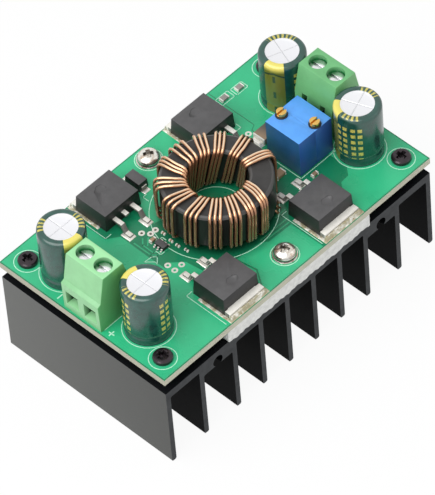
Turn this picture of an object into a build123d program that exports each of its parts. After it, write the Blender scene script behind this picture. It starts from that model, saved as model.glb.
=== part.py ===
from build123d import *
from math import cos, radians, sin
import os

# Buck-boost converter module: a loaded circuit board over a finned heatsink.
# Millimetres, Z up. Fin tips stand on Z = 0, the plan centre is the origin.
# The input terminal faces -X, the output terminal faces +X.

# Circuit board and the soft pad under it
board_length = 78.2
board_width = 47.0
board_thick = 1.6
pad_end_inset = 18.3
pad_side_inset = 0.1
pad_thick = 3.0
pad_length = board_length - 2 * pad_end_inset
pad_width = board_width - 2 * pad_side_inset

# Heatsink extrusion, drawn out along Y, a little smaller than the board
end_overhang = 0.1
side_overhang = 0.15
heatsink_length = board_length - 2 * end_overhang
heatsink_width = board_width - 2 * side_overhang
heatsink_height = 21.6
base_thick = 2.0
fin_thick = 1.25
fin_tip_radius = 0.4
fin_root_radius = 0.4
inner_fin_pitch = 7.75
port_base_thick = 4.0
port_radius = 1.35
port_depth = 2.9

# Screws, placed from the board's edges
corner_screw_end_inset = 4.0
corner_screw_side_inset = 4.3
corner_shank_radius = 1.25
corner_head_radius = 2.15
corner_head_height = 1.4
corner_shank_length = 8.0
middle_screw_x = 0.7
middle_screw_near_inset = 4.6
middle_screw_far_inset = 3.7
middle_shank_radius = 1.5
middle_head_radius = 2.75
middle_head_height = 2.1
middle_shank_length = 8.0
thread_clearance = 0.02
screw_clearance = 0.1
spacer_radius = 2.6
recess_width = 0.7
recess_span = 2.4
recess_depth = 0.8

# Electrolytic capacitors: distance from the board's end and gap beside the terminal,
# each soldered a little off a common rectangle
capacitor_places = (
    (-1, 1, 7.25, 1.1),
    (-1, -1, 8.0, 1.05),
    (1, 1, 7.15, 0.35),
    (1, -1, 7.55, 0.55),
)
capacitor_height = 14.1
can_radius = 4.95
sleeve_thick = 0.15
sleeve_lip = 0.9
shoulder_chamfer = 0.5
crimp_height = 2.1
crimp_depth = 0.25
crimp_half = 0.55
seal_height = 1.2
can_wall = 0.35
lead_radius = 0.3
lead_pitch = 5.0
lead_stub = 1.2
hole_clearance = 0.05

# Two-pole rising-cage terminals
terminal_width = 10.5
terminal_height = 14.8
pole_pitch = 5.08
input_terminal_inset = 0.35
output_terminal_inset = 0.0
ledge_height = 7.7
shoulder_height = 8.15
shoulder_in = 0.85
front_top_in = 2.15
back_top_in = 7.85
terminal_depth = 9.55
screw_in = 5.0
terminal_well_radius = 1.95
terminal_head_radius = 1.75
terminal_head_height = 1.5
terminal_shank_radius = 1.25
terminal_neck_height = 11.0
terminal_seat_height = 12.0
driver_slot_width = 0.5
driver_slot_depth = 0.7
cage_width = 3.9
cage_depth = 4.0
cage_height = 6.6
cage_floor = 1.3
cage_wall = 0.5
cage_sill = 0.8
cage_window = 4.2
slide_clearance = 0.08
entry_width = 3.5
entry_height = 4.0
entry_inner_width = 2.7
entry_inner_height = 3.2
tongue_width = 2.6
tongue_thick = 0.8
contact_leg_width = 1.0
notch_width = 1.4
notch_height = 8.3

# Multi-turn trimmers, side by side and turned half round to each other
trimmer_end_inset = 16.25
trimmer_y = -2.25
trimmer_width = 4.8
trimmer_length = 9.53
trimmer_height = 10.0
trimmer_wall = 0.5
trimmer_base_thick = 1.2
trimmer_screw_side = 1.1
trimmer_screw_end = 1.3
trimmer_head_radius = 1.1
trimmer_head_top = 11.2
trimmer_shaft_radius = 0.5
trimmer_collar_radius = 1.5
trimmer_collar_height = 0.35
wiper_height = 1.6
wiper_length = 2.2
wiper_width = 2.2
element_thick = 0.6
trimmer_pin_radius = 0.25
trimmer_pin_pitch = 2.54

# Power transistors in flat tab packages
transistor_x = 13.95
near_row_inset = 7.05
far_row_inset = 6.45
transistor_width = 10.1
transistor_length = 8.9
transistor_height = 4.4
transistor_draft = 3.0
tab_thick = 1.27
tab_reach = 5.9
tab_width = 10.0
tab_inner_width = 8.0
transistor_lead_pitch = 5.08
transistor_lead_width = 1.1
transistor_lead_thick = 0.5
transistor_lead_height = 2.2
transistor_foot_reach = 9.3
transistor_knee_reach = 6.9
stub_reach = 5.7
dimple_radius = 1.1
dimple_depth = 0.12
dimple_reach = 1.8

# Diode beside the far-left transistor
diode_x = -5.7
diode_width = 2.6
diode_length = 4.3
diode_top = 2.3
diode_lift = 0.2
diode_lead_width = 1.4
diode_lead_thick = 0.2
diode_lead_height = 1.2

# Toroidal inductor
inductor_x = 0.75
inductor_y = -0.3
core_radius = 11.9
core_bore_radius = 6.7
core_bottom = 1.3
core_height = 8.8
core_chamfer = 0.65
wire_size = 0.7
wire_clearance = 0.06
strand_step = 6.4
turn_angles = (-21, 11, 40, 63, 92, 121, 149, 172, 199, 222, 243, 263, 283)
lead_out_angle = 312

# Small surface-mounted pieces: x, y, length, width, height, turned along Y
chips = (
    (-14.4, 3.9, 1.6, 0.8, 0.6, False),
    (-11.6, 3.6, 1.0, 0.5, 0.35, True),
    (-12.0, 1.0, 1.0, 0.5, 0.35, True),
    (-12.0, -0.9, 1.0, 0.5, 0.35, True),
    (-11.7, -3.1, 1.0, 0.5, 0.35, True),
    (27.2, 19.4, 2.0, 1.25, 0.6, False),
    (23.0, 19.7, 2.0, 1.25, 0.6, False),
    (21.4, 6.1, 4.5, 3.2, 1.6, False),
    (15.3, -3.4, 2.6, 1.6, 0.9, False),
    (20.2, -8.8, 1.6, 0.8, 0.6, False),
)
chip_end = 0.3

# Small driver package beside the inductor
driver_x = -14.3
driver_y = 1.5
driver_width = 1.5
driver_length = 2.6
driver_height = 1.0
driver_pin_count = 3
driver_pin_pitch = 0.95
driver_pin_width = 0.4
driver_pin_thick = 0.15
driver_pin_reach = 0.6

# Plated holes that stay open
via_points = (
    (-14.5, 7.0),
    (-13.4, 5.5),
    (-12.0, 5.5),
    (-17.1, -3.0),
    (-17.1, -5.0),
    (-15.1, -5.0),
    (19.3, 9.2),
)
via_radius = 0.3

# Controller circuit under the board, in the gap beside the pad
controller_end_inset = 13.5
controller_length = 8.2
controller_width = 5.3
controller_height = 1.7
controller_pin_count = 12
controller_pin_pitch = 0.65
controller_pin_width = 0.3
controller_pin_thick = 0.2
controller_pin_reach = 1.2

# Heights that the stack gives
heatsink_top = heatsink_height
board_bottom = heatsink_top + pad_thick
board_top = board_bottom + board_thick

# Places that more than one piece uses
end_x = board_length / 2
side_y = board_width / 2
corner_points = [
    (sx * (end_x - corner_screw_end_inset), sy * (side_y - corner_screw_side_inset))
    for sx in (-1, 1)
    for sy in (-1, 1)
]
middle_points = [
    (middle_screw_x, middle_screw_near_inset - side_y),
    (middle_screw_x, side_y - middle_screw_far_inset),
]
capacitor_points = [
    (sx * (end_x - inset), sy * (terminal_width / 2 + gap + can_radius + sleeve_thick))
    for sx, sy, inset, gap in capacitor_places
]
near_row_y = near_row_inset - side_y
far_row_y = side_y - far_row_inset
diode_y = far_row_y
trimmer_x = end_x - trimmer_end_inset
controller_x = controller_end_inset - end_x
transistor_places = [
    (-transistor_x, near_row_y, -1),
    (transistor_x, near_row_y, -1),
    (-transistor_x, far_row_y, 1),
    (transistor_x, far_row_y, 1),
]
trimmer_places = [
    (trimmer_x - trimmer_width / 2, trimmer_y, 1),
    (trimmer_x + trimmer_width / 2, trimmer_y, -1),
]
pole_ys = (-pole_pitch / 2, pole_pitch / 2)
outer_fin_x = heatsink_length / 2 - fin_thick / 2
port_fin_x = inner_fin_pitch * 2.5
outer_fin_pitch = (outer_fin_x - port_fin_x) / 2
port_x = port_fin_x + outer_fin_pitch / 2
fin_xs = [inner_fin_pitch * (i - 2.5) for i in range(6)]
fin_xs += [side * (port_fin_x + outer_fin_pitch * n) for side in (-1, 1) for n in (1, 2)]
contact_in = screw_in + cage_depth / 2 + slide_clearance + 0.6
wire_inner_radius = core_bore_radius - wire_clearance - wire_size / 2
wire_outer_radius = core_radius + wire_clearance + wire_size / 2
wire_low = board_top + core_bottom - wire_clearance - wire_size / 2
wire_high = board_top + core_bottom + core_height + wire_clearance + wire_size / 2

os.makedirs("parts", exist_ok=True)


def save(part, name):
    part.label = name
    export_step(part, f"parts/{name}.step")


def terminal_x(side, inward):
    """X of a point that lies inward of the board's end edge by the given distance."""
    inset = input_terminal_inset if side < 0 else output_terminal_inset
    return side * (end_x - inset - inward)


def box_between(x0, x1, y0, y1, z0, z1, mode=Mode.ADD):
    """Box given by its two opposite corners."""
    with Locations(((x0 + x1) / 2, (y0 + y1) / 2, (z0 + z1) / 2)):
        Box(abs(x1 - x0), abs(y1 - y0), abs(z1 - z0), mode=mode)


# Heatsink: one extruded section with two open screw ports, drilled for the six screws
with BuildPart() as heatsink:
    with BuildSketch(Plane.XZ):
        with Locations((0, heatsink_height - base_thick / 2)):
            Rectangle(heatsink_length, base_thick)
        for side in (-1, 1):
            with Locations((side * port_x, heatsink_height - port_base_thick / 2)):
                Rectangle(outer_fin_pitch, port_base_thick)
        for x in fin_xs:
            with Locations((x, heatsink_height / 2)):
                Rectangle(fin_thick, heatsink_height)
        corners = vertices()
        fillet([v for v in corners if v.Y < 0.01], radius=fin_tip_radius)
        roots = [v for v in vertices() if base_thick < heatsink_height - v.Y + 0.01 < port_base_thick + 0.1]
        fillet(roots, radius=fin_root_radius)
        for side in (-1, 1):
            with Locations((side * port_x, heatsink_height - port_depth)):
                Circle(port_radius, mode=Mode.SUBTRACT)
    extrude(amount=heatsink_width / 2, both=True)
    with Locations(*[(x, y, heatsink_top - base_thick / 2) for x, y in corner_points]):
        Cylinder(corner_shank_radius + thread_clearance, base_thick + 1, mode=Mode.SUBTRACT)
    with Locations(*[(x, y, heatsink_top - base_thick / 2) for x, y in middle_points]):
        Cylinder(middle_shank_radius + thread_clearance, base_thick + 1, mode=Mode.SUBTRACT)
save(heatsink.part, "heatsink")

# Soft pad that carries heat from the board to the heatsink
with BuildPart() as thermal_pad:
    with BuildSketch(Plane.XY.offset(heatsink_top)):
        Rectangle(pad_length, pad_width)
        with Locations(*middle_points):
            Circle(middle_shank_radius + screw_clearance, mode=Mode.SUBTRACT)
    extrude(amount=pad_thick)
save(thermal_pad.part, "thermal_pad")

# Circuit board with every screw hole and lead hole
capacitor_leads = [(x + s * lead_pitch / 2, y) for x, y in capacitor_points for s in (-1, 1)]
contact_points = [(terminal_x(side, contact_in), y) for side in (-1, 1) for y in pole_ys]
trimmer_pins = [(x, y + n * trimmer_pin_pitch) for x, y, turn in trimmer_places for n in (-1, 0, 1)]
strand_angles = [strand_step * n for n in (-1, 0, 1)]
wire_leads = [
    (
        inductor_x + wire_outer_radius * cos(radians(angle + step)),
        inductor_y + wire_outer_radius * sin(radians(angle + step)),
    )
    for angle in (turn_angles[0], lead_out_angle)
    for step in strand_angles
]
with BuildPart() as circuit_board:
    with BuildSketch(Plane.XY.offset(board_bottom)):
        Rectangle(board_length, board_width)
        with Locations(*corner_points):
            Circle(corner_shank_radius + screw_clearance, mode=Mode.SUBTRACT)
        with Locations(*middle_points):
            Circle(middle_shank_radius + screw_clearance, mode=Mode.SUBTRACT)
        with Locations(*capacitor_leads):
            Circle(lead_radius + hole_clearance, mode=Mode.SUBTRACT)
        with Locations(*contact_points):
            Rectangle(
                tongue_thick + 2 * hole_clearance,
                contact_leg_width + 2 * hole_clearance,
                mode=Mode.SUBTRACT,
            )
        with Locations(*trimmer_pins):
            Circle(trimmer_pin_radius + hole_clearance, mode=Mode.SUBTRACT)
        with Locations(*wire_leads):
            Circle(wire_size / 2 + hole_clearance, mode=Mode.SUBTRACT)
        with Locations(*via_points):
            Circle(via_radius, mode=Mode.SUBTRACT)
    extrude(amount=board_thick)
save(circuit_board.part, "circuit_board")

# Four black screws hold the board corners on ring spacers
with BuildPart() as corner_screws:
    with Locations(*[(x, y, board_top) for x, y in corner_points]):
        Cylinder(
            corner_shank_radius,
            corner_shank_length,
            align=(Align.CENTER, Align.CENTER, Align.MAX),
        )
        Cone(
            corner_head_radius,
            corner_head_radius - 0.45,
            corner_head_height,
            align=(Align.CENTER, Align.CENTER, Align.MIN),
        )
    with Locations(*[(x, y, board_top + corner_head_height) for x, y in corner_points]):
        Box(recess_span, recess_width, 2 * recess_depth, mode=Mode.SUBTRACT)
        Box(recess_width, recess_span, 2 * recess_depth, mode=Mode.SUBTRACT)
save(corner_screws.part, "corner_screws")

with BuildPart() as spacer_rings:
    with BuildSketch(Plane.XY.offset(heatsink_top)):
        with Locations(*corner_points):
            Circle(spacer_radius)
            Circle(corner_shank_radius + screw_clearance, mode=Mode.SUBTRACT)
    extrude(amount=pad_thick)
save(spacer_rings.part, "spacer_rings")

# Two domed screws pull the transistors' rows down on the pad
with BuildPart() as middle_screws:
    with BuildSketch(Plane.XZ):
        with BuildLine():
            Line((0, 0), (middle_head_radius, 0))
            Line((middle_head_radius, 0), (middle_head_radius, middle_head_height * 0.45))
            ThreePointArc(
                (middle_head_radius, middle_head_height * 0.45),
                (middle_head_radius * 0.72, middle_head_height * 0.86),
                (0, middle_head_height),
            )
            Line((0, middle_head_height), (0, 0))
        make_face()
    revolve(axis=Axis.Z)
    Cylinder(
        middle_shank_radius,
        middle_shank_length,
        align=(Align.CENTER, Align.CENTER, Align.MAX),
    )
    with Locations((0, 0, middle_head_height)):
        Box(recess_span, recess_width, 2 * recess_depth, mode=Mode.SUBTRACT)
        Box(recess_width, recess_span, 2 * recess_depth, mode=Mode.SUBTRACT)
middle_set = [Pos(x, y, board_top) * middle_screws.part for x, y in middle_points]
save(Compound(children=middle_set), "middle_screws")


def capacitor_can(x, y):
    """Drawn can, open at the bottom where the rubber seal closes it."""
    with BuildPart() as can:
        with Locations((x, y, board_top)):
            Cylinder(
                can_radius,
                capacitor_height - sleeve_thick,
                align=(Align.CENTER, Align.CENTER, Align.MIN),
            )
            Cylinder(
                can_radius - can_wall,
                capacitor_height - sleeve_thick - shoulder_chamfer - can_wall,
                align=(Align.CENTER, Align.CENTER, Align.MIN),
                mode=Mode.SUBTRACT,
            )
        crown = can.edges().filter_by(GeomType.CIRCLE).group_by(Axis.Z)[-1]
        chamfer(crown, length=shoulder_chamfer)
    return can.part


def capacitor_sleeve(x, y):
    """Shrink sleeve that follows the shoulder and folds over the top as a lip."""
    outer = can_radius + sleeve_thick
    inner = can_radius
    top = capacitor_height
    with BuildPart() as sleeve:
        with BuildSketch(Plane.XZ):
            with BuildLine():
                Polyline(
                    (inner, 0),
                    (outer, 0),
                    (outer, crimp_height - crimp_half),
                    (outer - crimp_depth / 2, crimp_height),
                    (outer, crimp_height + crimp_half),
                    (outer, top - shoulder_chamfer),
                    (outer - shoulder_chamfer, top),
                    (outer - shoulder_chamfer - sleeve_lip, top),
                    (outer - shoulder_chamfer - sleeve_lip, top - sleeve_thick),
                    (inner - shoulder_chamfer, top - sleeve_thick),
                    (inner, top - sleeve_thick - shoulder_chamfer),
                    (inner, 0),
                )
            make_face()
        revolve(axis=Axis.Z)
    return Pos(x, y, board_top) * sleeve.part


for number, (x, y) in enumerate(capacitor_points, 1):
    save(capacitor_can(x, y), f"capacitor_{number}_can")
    save(capacitor_sleeve(x, y), f"capacitor_{number}_sleeve")

with BuildPart() as capacitor_seals:
    with BuildSketch(Plane.XY.offset(board_top)):
        with Locations(*capacitor_points):
            Circle(can_radius - can_wall)
        with Locations(*capacitor_leads):
            Circle(lead_radius, mode=Mode.SUBTRACT)
    extrude(amount=seal_height)
save(capacitor_seals.part, "capacitor_seals")

# Wound foil rolls that fill the cans above the seals
with BuildPart() as capacitor_rolls:
    with BuildSketch(Plane.XY.offset(board_top + seal_height)):
        with Locations(*capacitor_points):
            Circle(can_radius - can_wall - hole_clearance)
    extrude(amount=capacitor_height - sleeve_thick - shoulder_chamfer - can_wall - seal_height)
save(capacitor_rolls.part, "capacitor_rolls")

with BuildPart() as capacitor_lead_wires:
    with BuildSketch(Plane.XY.offset(board_bottom - lead_stub)):
        with Locations(*capacitor_leads):
            Circle(lead_radius)
    extrude(amount=lead_stub + board_thick + seal_height)
save(capacitor_lead_wires.part, "capacitor_leads")


def terminal_housing(side):
    """Moulded block with a screw well, a cage shaft and a wire funnel for each pole."""
    cavity_front = screw_in - cage_depth / 2 - slide_clearance
    cavity_back = screw_in + cage_depth / 2 + slide_clearance
    cavity_half = cage_width / 2 + slide_clearance
    entry_z = board_top + cage_floor + cage_sill + entry_inner_height / 2
    with BuildPart() as housing:
        with BuildSketch(Plane.XZ):
            with BuildLine():
                Polyline(
                    (terminal_x(side, 0.2), board_top),
                    (terminal_x(side, 0), board_top + ledge_height),
                    (terminal_x(side, shoulder_in), board_top + shoulder_height),
                    (terminal_x(side, front_top_in), board_top + terminal_height),
                    (terminal_x(side, back_top_in), board_top + terminal_height),
                    (terminal_x(side, terminal_depth), board_top + ledge_height),
                    (terminal_x(side, terminal_depth), board_top),
                    close=True,
                )
            make_face()
        extrude(amount=terminal_width / 2, both=True)
        for y in pole_ys:
            with Locations((terminal_x(side, screw_in), y, board_top + terminal_neck_height)):
                Cylinder(
                    terminal_shank_radius + hole_clearance,
                    terminal_height,
                    align=(Align.CENTER, Align.CENTER, Align.MIN),
                    mode=Mode.SUBTRACT,
                )
            with Locations((terminal_x(side, screw_in), y, board_top + terminal_seat_height)):
                Cylinder(
                    terminal_well_radius,
                    terminal_height,
                    align=(Align.CENTER, Align.CENTER, Align.MIN),
                    mode=Mode.SUBTRACT,
                )
            box_between(
                terminal_x(side, cavity_front),
                terminal_x(side, cavity_back),
                y - cavity_half,
                y + cavity_half,
                board_top + cage_floor,
                board_top + terminal_neck_height,
                mode=Mode.SUBTRACT,
            )
            box_between(
                terminal_x(side, cavity_back - 0.1),
                terminal_x(side, contact_in + tongue_thick / 2 + hole_clearance),
                y - tongue_width / 2 - hole_clearance,
                y + tongue_width / 2 + hole_clearance,
                board_top,
                board_top + cage_floor + cage_sill + cage_window,
                mode=Mode.SUBTRACT,
            )
            box_between(
                terminal_x(side, contact_in),
                terminal_x(side, terminal_depth + 0.5),
                y - notch_width / 2,
                y + notch_width / 2,
                board_top,
                board_top + notch_height,
                mode=Mode.SUBTRACT,
            )
            with BuildSketch(Plane.YZ.offset(terminal_x(side, -0.2))):
                with Locations((y, entry_z)):
                    Rectangle(entry_width, entry_height)
            with BuildSketch(Plane.YZ.offset(terminal_x(side, cavity_front + 0.05))):
                with Locations((y, entry_z)):
                    Rectangle(entry_inner_width, entry_inner_height)
            loft(mode=Mode.SUBTRACT)
    return housing.part


def terminal_contacts(side):
    """Fixed tongue over the wire with a leg through the board, one for each pole."""
    tongue_top = board_top + cage_floor + cage_sill + cage_window - hole_clearance
    with BuildPart() as contacts:
        for y in pole_ys:
            box_between(
                terminal_x(side, screw_in - cage_depth / 2),
                terminal_x(side, contact_in + tongue_thick / 2),
                y - tongue_width / 2,
                y + tongue_width / 2,
                tongue_top - tongue_thick,
                tongue_top,
            )
            box_between(
                terminal_x(side, contact_in - tongue_thick / 2),
                terminal_x(side, contact_in + tongue_thick / 2),
                y - contact_leg_width / 2,
                y + contact_leg_width / 2,
                board_bottom - lead_stub,
                tongue_top,
            )
    return contacts.part


def terminal_screw(x, y):
    """Slotted clamp screw that turns in the neck of the housing."""
    seat = board_top + terminal_seat_height
    tip = board_top + cage_floor + cage_sill + cage_window
    with BuildPart() as screw:
        with Locations((x, y, seat)):
            Cylinder(
                terminal_head_radius,
                terminal_head_height,
                align=(Align.CENTER, Align.CENTER, Align.MIN),
            )
            Cylinder(
                terminal_shank_radius,
                seat - tip,
                align=(Align.CENTER, Align.CENTER, Align.MAX),
            )
        with Locations((x, y, seat + terminal_head_height)):
            Box(
                driver_slot_width,
                2 * terminal_head_radius + 1,
                2 * driver_slot_depth,
                mode=Mode.SUBTRACT,
            )
    return screw.part


def terminal_cage(x, y):
    """Rising cage: a square nut block with a window for the wire and the tongue."""
    low = board_top + cage_floor
    with BuildPart() as cage:
        with Locations((x, y, low)):
            Box(
                cage_depth,
                cage_width,
                cage_height,
                align=(Align.CENTER, Align.CENTER, Align.MIN),
            )
        with Locations((x, y, low + cage_sill)):
            Box(
                cage_depth + 1,
                cage_width - 2 * cage_wall,
                cage_window,
                align=(Align.CENTER, Align.CENTER, Align.MIN),
                mode=Mode.SUBTRACT,
            )
        with Locations((x, y, low + cage_height)):
            Cylinder(
                terminal_shank_radius + thread_clearance,
                cage_height - cage_sill - cage_window / 2,
                align=(Align.CENTER, Align.CENTER, Align.MAX),
                mode=Mode.SUBTRACT,
            )
    return cage.part


for side, name in ((-1, "input"), (1, "output")):
    save(terminal_housing(side), f"{name}_terminal_housing")
    save(terminal_contacts(side), f"{name}_terminal_contacts")
    for number, y in enumerate(pole_ys, 1):
        x = terminal_x(side, screw_in)
        save(terminal_screw(x, y), f"{name}_screw_{number}")
        save(terminal_cage(x, y), f"{name}_cage_{number}")


def trimmer_screw_point(x, y, turn):
    """Centre of the adjusting screw, off centre near one end of the trimmer."""
    screw_x = x + turn * trimmer_screw_side
    screw_y = y + turn * (trimmer_length / 2 - trimmer_screw_end)
    return screw_x, screw_y


def trimmer_body(x, y, turn):
    """Hollow case, open below, with a collar round the adjusting screw."""
    screw_x, screw_y = trimmer_screw_point(x, y, turn)
    with BuildPart() as body:
        with Locations((x, y, board_top)):
            Box(
                trimmer_width,
                trimmer_length,
                trimmer_height,
                align=(Align.CENTER, Align.CENTER, Align.MIN),
            )
            Box(
                trimmer_width - 2 * trimmer_wall,
                trimmer_length - 2 * trimmer_wall,
                trimmer_height - trimmer_wall,
                align=(Align.CENTER, Align.CENTER, Align.MIN),
                mode=Mode.SUBTRACT,
            )
        with Locations((screw_x, screw_y, board_top + trimmer_height)):
            Cylinder(
                trimmer_shaft_radius + hole_clearance,
                2 * trimmer_wall + 1,
                mode=Mode.SUBTRACT,
            )
    return body.part


def trimmer_base(x, y):
    """Potted base that closes the case and holds the three pins."""
    with BuildPart() as base:
        with BuildSketch(Plane.XY.offset(board_top)):
            with Locations((x, y)):
                Rectangle(trimmer_width - 2 * trimmer_wall, trimmer_length - 2 * trimmer_wall)
            with Locations(*[(x, y + n * trimmer_pin_pitch) for n in (-1, 0, 1)]):
                Circle(trimmer_pin_radius, mode=Mode.SUBTRACT)
        extrude(amount=trimmer_base_thick)
    return base.part


def trimmer_screw(x, y, turn):
    """Brass adjusting screw with its shaft down to the base."""
    screw_x, screw_y = trimmer_screw_point(x, y, turn)
    top = board_top + trimmer_height
    with BuildPart() as screw:
        with Locations((screw_x, screw_y, top)):
            Cylinder(
                trimmer_head_radius,
                trimmer_head_top - trimmer_height,
                align=(Align.CENTER, Align.CENTER, Align.MIN),
            )
            Cylinder(
                trimmer_shaft_radius,
                trimmer_height - trimmer_base_thick,
                align=(Align.CENTER, Align.CENTER, Align.MAX),
            )
        with Locations((screw_x, screw_y, board_top + trimmer_head_top)):
            Box(
                2 * trimmer_head_radius + 1,
                driver_slot_width,
                2 * driver_slot_depth,
                mode=Mode.SUBTRACT,
            )
    return screw.part


def trimmer_wiper(x, y, turn):
    """Wiper block that the screw drives up and down the element."""
    screw_x, screw_y = trimmer_screw_point(x, y, turn)
    middle = board_top + (trimmer_base_thick + trimmer_height - trimmer_wall) / 2
    inner_end = y + turn * (trimmer_length / 2 - trimmer_wall - slide_clearance)
    inner_side = x + turn * (trimmer_width / 2 - trimmer_wall - slide_clearance)
    with BuildPart() as wiper:
        box_between(
            inner_side,
            inner_side - turn * wiper_width,
            inner_end,
            inner_end - turn * wiper_length,
            middle - wiper_height / 2,
            middle + wiper_height / 2,
        )
        with Locations((screw_x, screw_y, middle)):
            Cylinder(
                trimmer_shaft_radius + thread_clearance,
                wiper_height + 1,
                mode=Mode.SUBTRACT,
            )
    return wiper.part


def trimmer_element(x, y, turn):
    """Resistive strip that stands against the case wall beside the wiper."""
    wall = x + turn * (trimmer_width / 2 - trimmer_wall - wiper_width - 2 * slide_clearance)
    inner_end = y + turn * (trimmer_length / 2 - trimmer_wall)
    with BuildPart() as element:
        box_between(
            wall,
            wall - turn * element_thick,
            inner_end,
            inner_end - turn * wiper_length,
            board_top + trimmer_base_thick,
            board_top + trimmer_height - trimmer_wall,
        )
    return element.part


with BuildPart() as trimmer_collars:
    with BuildSketch(Plane.XY.offset(board_top + trimmer_height)):
        for place in trimmer_places:
            with Locations(trimmer_screw_point(*place)):
                Circle(trimmer_collar_radius)
                Circle(trimmer_head_radius + hole_clearance, mode=Mode.SUBTRACT)
    extrude(amount=trimmer_collar_height)
save(trimmer_collars.part, "trimmer_collars")

for number, place in enumerate(trimmer_places, 1):
    save(trimmer_body(*place), f"trimmer_{number}_body")
    save(trimmer_base(*place[:2]), f"trimmer_{number}_base")
    save(trimmer_screw(*place), f"trimmer_{number}_screw")
    save(trimmer_wiper(*place), f"trimmer_{number}_wiper")
    save(trimmer_element(*place), f"trimmer_{number}_element")

with BuildPart() as trimmer_pin_wires:
    with BuildSketch(Plane.XY.offset(board_bottom)):
        with Locations(*trimmer_pins):
            Circle(trimmer_pin_radius)
    extrude(amount=board_thick + trimmer_base_thick)
save(trimmer_pin_wires.part, "trimmer_pins")


with BuildPart() as transistor_metal:
    lead_low = transistor_lead_height - transistor_lead_thick
    lead_start = -transistor_length / 2 + 0.6
    box_between(-tab_width / 2, tab_width / 2, transistor_length / 2, tab_reach, 0, tab_thick)
    box_between(-tab_inner_width / 2, tab_inner_width / 2, 0, transistor_length / 2, 0, tab_thick)
    box_between(
        -transistor_lead_width / 2,
        transistor_lead_width / 2,
        -stub_reach,
        lead_start,
        lead_low,
        transistor_lead_height,
    )
    for side in (-1, 1):
        with BuildSketch(Plane.YZ.offset(side * transistor_lead_pitch / 2)):
            with BuildLine():
                Polyline(
                    (lead_start, transistor_lead_height),
                    (-transistor_knee_reach, transistor_lead_height),
                    (-transistor_knee_reach - 0.9, transistor_lead_thick),
                    (-transistor_foot_reach, transistor_lead_thick),
                    (-transistor_foot_reach, 0),
                    (-transistor_knee_reach - 0.5, 0),
                    (-transistor_knee_reach + 0.3, lead_low),
                    (lead_start, lead_low),
                    close=True,
                )
            make_face()
        extrude(amount=transistor_lead_width / 2, both=True)

with BuildPart() as transistor_body:
    with BuildSketch():
        Rectangle(transistor_width, transistor_length)
    extrude(amount=transistor_height, taper=transistor_draft)
    with Locations((0, dimple_reach, transistor_height)):
        Cylinder(dimple_radius, 2 * dimple_depth, mode=Mode.SUBTRACT)
    add(transistor_metal.part, mode=Mode.SUBTRACT)

for number, (x, y, turn) in enumerate(transistor_places, 1):
    place = Pos(x, y, board_top) * Rot(0, 0, 0 if turn > 0 else 180)
    save(place * transistor_body.part, f"transistor_{number}_body")
    save(place * transistor_metal.part, f"transistor_{number}_metal")

with BuildPart() as diode_body:
    with BuildSketch(Plane.XY.offset(board_top + diode_lift)):
        with Locations((diode_x, diode_y)):
            Rectangle(diode_width, diode_length)
    extrude(amount=diode_top - diode_lift, taper=transistor_draft)
save(diode_body.part, "diode_body")

with BuildPart() as diode_leads:
    for side in (-1, 1):
        end = diode_y + side * diode_length / 2
        box_between(
            diode_x - diode_lead_width / 2,
            diode_x + diode_lead_width / 2,
            end,
            end + side * diode_lead_thick,
            board_top,
            board_top + diode_lead_height,
        )
        box_between(
            diode_x - diode_lead_width / 2,
            diode_x + diode_lead_width / 2,
            end,
            end - side * diode_lead_width,
            board_top,
            board_top + diode_lift,
        )
save(diode_leads.part, "diode_leads")

# Toroid core with chamfered rims
with BuildPart() as inductor_core:
    with BuildSketch(Plane.XZ):
        with Locations(((core_radius + core_bore_radius) / 2, core_bottom + core_height / 2)):
            Rectangle(core_radius - core_bore_radius, core_height)
        chamfer(vertices(), length=core_chamfer)
    revolve(axis=Axis.Z)
save(Pos(inductor_x, inductor_y, board_top) * inductor_core.part, "inductor_core")


def ring_point(radius, angle, height):
    """Point round the inductor's axis."""
    return (
        inductor_x + radius * cos(radians(angle)),
        inductor_y + radius * sin(radians(angle)),
        height,
    )


def strand_points(step):
    """Corners of one strand: up the outside, over, down the bore, out below to the next turn."""
    bend = core_chamfer
    points = [ring_point(wire_outer_radius, turn_angles[0] + step, board_bottom)]
    for n, turn in enumerate(turn_angles):
        angle = turn + step
        if n > 0:
            points.append(ring_point(wire_outer_radius - bend, angle, wire_low))
            points.append(ring_point(wire_outer_radius, angle, wire_low + bend))
        points.append(ring_point(wire_outer_radius, angle, wire_high - bend))
        points.append(ring_point(wire_outer_radius - bend, angle, wire_high))
        points.append(ring_point(wire_inner_radius + bend, angle, wire_high))
        points.append(ring_point(wire_inner_radius, angle, wire_high - bend))
        points.append(ring_point(wire_inner_radius, angle, wire_low + bend))
        points.append(ring_point(wire_inner_radius + bend, angle, wire_low))
    points.append(ring_point(wire_outer_radius - bend, lead_out_angle + step, wire_low))
    points.append(ring_point(wire_outer_radius, lead_out_angle + step, wire_low - bend))
    points.append(ring_point(wire_outer_radius, lead_out_angle + step, board_bottom))
    return points


def strand(step):
    """Six-sided wire drawn along the strand's corners."""
    with BuildPart() as wire:
        with BuildLine() as path:
            Polyline(*strand_points(step))
        with BuildSketch(Plane(path.line @ 0, z_dir=path.line % 0)):
            RegularPolygon(wire_size / 2, 6)
        sweep(path=path.line, transition=Transition.RIGHT)
    return wire.part


strands = [strand(step) for step in strand_angles]
save(Compound(children=strands), "inductor_winding")

# Chip resistors and capacitors with their metal ends
with BuildPart() as chip_bodies:
    for x, y, length, width, height, along_y in chips:
        with Locations(Location((x, y, board_top), (0, 0, 90 if along_y else 0))):
            Box(length - 2 * chip_end, width, height, align=(Align.CENTER, Align.CENTER, Align.MIN))
save(chip_bodies.part, "chip_bodies")

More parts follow.
